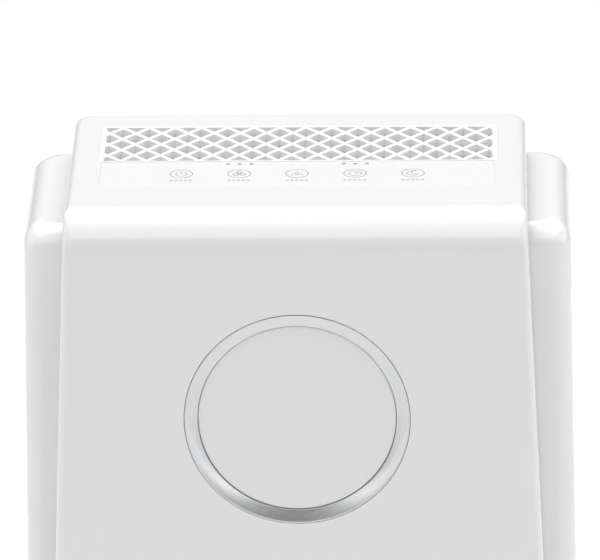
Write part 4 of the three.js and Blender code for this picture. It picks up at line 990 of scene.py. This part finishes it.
def hexagon_rib(x, z, reach, y0, y1):
    """A six-sided tube with a thin wall."""
    thickness = 0.35 * MM
    loops = []
    for radius in (reach * 0.985, reach * 0.985 - thickness):
        loops.append([(x + radius * math.sin(math.pi / 3 * i), z + radius * math.cos(math.pi / 3 * i))
                      for i in range(6)])
    vertices = [Vector((px, y, pz)) for y in (y0, y1) for loop in loops for px, pz in loop]
    faces = []
    for i in range(6):
        j = (i + 1) % 6
        faces += [(i, j, 6 + j, 6 + i), (12 + i, 18 + i, 18 + j, 12 + j),
                  (i, 12 + i, 12 + j, j), (6 + i, 6 + j, 18 + j, 18 + i)]
    return new_object("hexagon", vertices, faces)


def hepa_filter():
    """A card frame with deep pleats across its width."""
    edge = 6 * MM
    frame_part = prism("hepa_frame", "y", rounded_outline(HEPA_LOW.x, HEPA_HIGH.x, HEPA_LOW.z, HEPA_HIGH.z,
                                                          1 * MM), HEPA_LOW.y, HEPA_HIGH.y)
    room = block("room", (HEPA_LOW.x + edge, HEPA_LOW.y - WALL, HEPA_LOW.z + edge),
                 (HEPA_HIGH.x - edge, HEPA_HIGH.y + WALL, HEPA_HIGH.z - edge))
    carve(frame_part, "DIFFERENCE", room)
    soften(frame_part, 0.4 * MM)
    piece(frame_part, "paper", "casing", "paper", "hepa_filter")
    pleats = 60
    left = HEPA_LOW.x + edge - 1 * MM
    pitch = (HEPA_HIGH.x - HEPA_LOW.x - 2 * edge + 2 * MM) / pleats
    thickness = 0.5 * MM
    near = []
    far = []
    for i in range(2 * pleats + 1):
        x = left + i * pitch / 2
        y = HEPA_LOW.y + 2 * MM if i % 2 == 0 else HEPA_HIGH.y - 2 * MM
        near.append((x - thickness / 2, y))
        far.append((x + thickness / 2, y))
    outline = near + far[::-1]
    sheet = pleated_sheet(outline, len(near), HEPA_LOW.z + edge - 1 * MM, HEPA_HIGH.z - edge + 1 * MM)
    piece(sheet, "paper", "casing", "paper")


def pleated_sheet(outline, count, low, high):
    vertices = [Vector((x, y, z)) for z in (low, high) for x, y in outline]
    total = len(outline)
    faces = [(i, (i + 1) % total, total + (i + 1) % total, total + i) for i in range(total)]
    for i in range(count - 1):
        quad = (i, i + 1, total - 2 - i, total - 1 - i)
        faces.append(quad)
        faces.append(tuple(total + k for k in reversed(quad)))
    return new_object("hepa_pleats", vertices, faces)


# ---- carried-over pieces -------------------------------------------------------------------------

CARRIED = {
    "inner": ("filter_bay", "scroll_casing", "outlet_duct"),
    "steel": ("motor", "motor_shaft", "impeller_nut", "ioniser_brush", "inlet_pin_1", "inlet_pin_2",
              "hinge_pin_left", "hinge_pin_right", "door_magnet_left", "door_magnet_right", "door_strike_left",
              "door_strike_right", *(f"touch_spring_{i}" for i in range(1, 6)),
              *(f"motor_screw_{i}" for i in range(1, 4)), *(f"base_screw_{i}" for i in range(1, 5))),
    "board": ("control_board", "power_board"),
    "black": ("impeller", "ioniser_module", "door_switch", "power_inlet"),
    "rubber": ("filter_seal",),
    "clear": ("light_guide",),
    "wire": ("control_cable", "ioniser_lead", "motor_lead", "mains_lead"),
}


def carried_over():
    """CAD nodes shown as they are, with a material and small rounds."""
    for material, names in CARRIED.items():
        for name in names:
            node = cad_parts[name]
            dress(node, material)
            soften(node, 0.2 * MM, segments=1, angle=40)


# ---- stage ---------------------------------------------------------------------------------------

FLOOR_HALF = 9
WORLD_STRENGTH = 0.135


def stage():
    """A plain pale floor under an even, dim sky."""
    floor = new_object("floor", [(-FLOOR_HALF, -FLOOR_HALF, 0), (FLOOR_HALF, -FLOOR_HALF, 0),
                                 (FLOOR_HALF, FLOOR_HALF, 0), (-FLOOR_HALF, FLOOR_HALF, 0)], [(0, 1, 2, 3)])
    material = surface("studio_floor", (0.93, 0.93, 0.93), (0.92, 0.92, 0.92), (0.7, 0.8), 60, 0.01 * MM)
    floor.data.materials.append(material)
    world = bpy.data.worlds.new("studio")
    bpy.context.scene.world = world
    world.use_nodes = True
    background = world.node_tree.nodes["Background"]
    background.inputs["Color"].default_value = (1, 1, 1, 1)
    background.inputs["Strength"].default_value = WORLD_STRENGTH
    scene = bpy.context.scene
    scene.view_settings.view_transform = "Standard"
    scene.view_settings.look = "None"


LIGHTS = (
    # name, place, aimed at, width, height, power
    ("overhead", (0.0, 0.9, 3.2), (0.0, 0.9, 0.0), 4.4, 4.4, 109.0),
    ("back", (0.0, 1.5, 1.9), (0.0, 1.4, 0.0), 3.0, 0.8, 9.0),
    ("softbox", (-0.32, 0.4, 2.65), (-0.32, 0.4, 0.0), 0.3, 1.5, 4.0),
    ("side_left", (-2.2, -0.2, 1.0), (0.0, 0.0, 0.35), 1.6, 1.6, 10.0),
    ("side_right", (2.2, -0.2, 1.0), (0.0, 0.0, 0.35), 1.6, 1.6, 12.0),
    ("panel_left", (-1.03, -2.82, 0.75), (0.0, 0.0, 0.35), 0.4, 1.4, 4.2),
    ("panel_right", (1.03, -2.82, 0.75), (0.0, 0.0, 0.35), 0.4, 1.4, 4.2),
    ("front_top", (0.0, -1.88, 2.52), (0.0, 0.0, 0.4), 2.4, 1.5, 16.0),
)


def lights():
    for name, place, target, width, height, power in LIGHTS:
        data = bpy.data.lights.new(name, "AREA")
        data.shape = "RECTANGLE"
        data.size = width
        data.size_y = height
        data.energy = power
        lamp = bpy.data.objects.new(name, data)
        lamp.location = place
        lamp.rotation_euler = (Vector(target) - Vector(place)).to_track_quat("-Z", "Y").to_euler()
        bpy.context.scene.collection.objects.link(lamp)


add_camera()
front_hood()
rear_housing()
base_tray()
feet()
outlet_grille()
touch_overlay()
ring_bezel()
front_disc()
rear_door()
pre_filter()
carbon_filter()
hepa_filter()
carried_over()
stage()
lights()
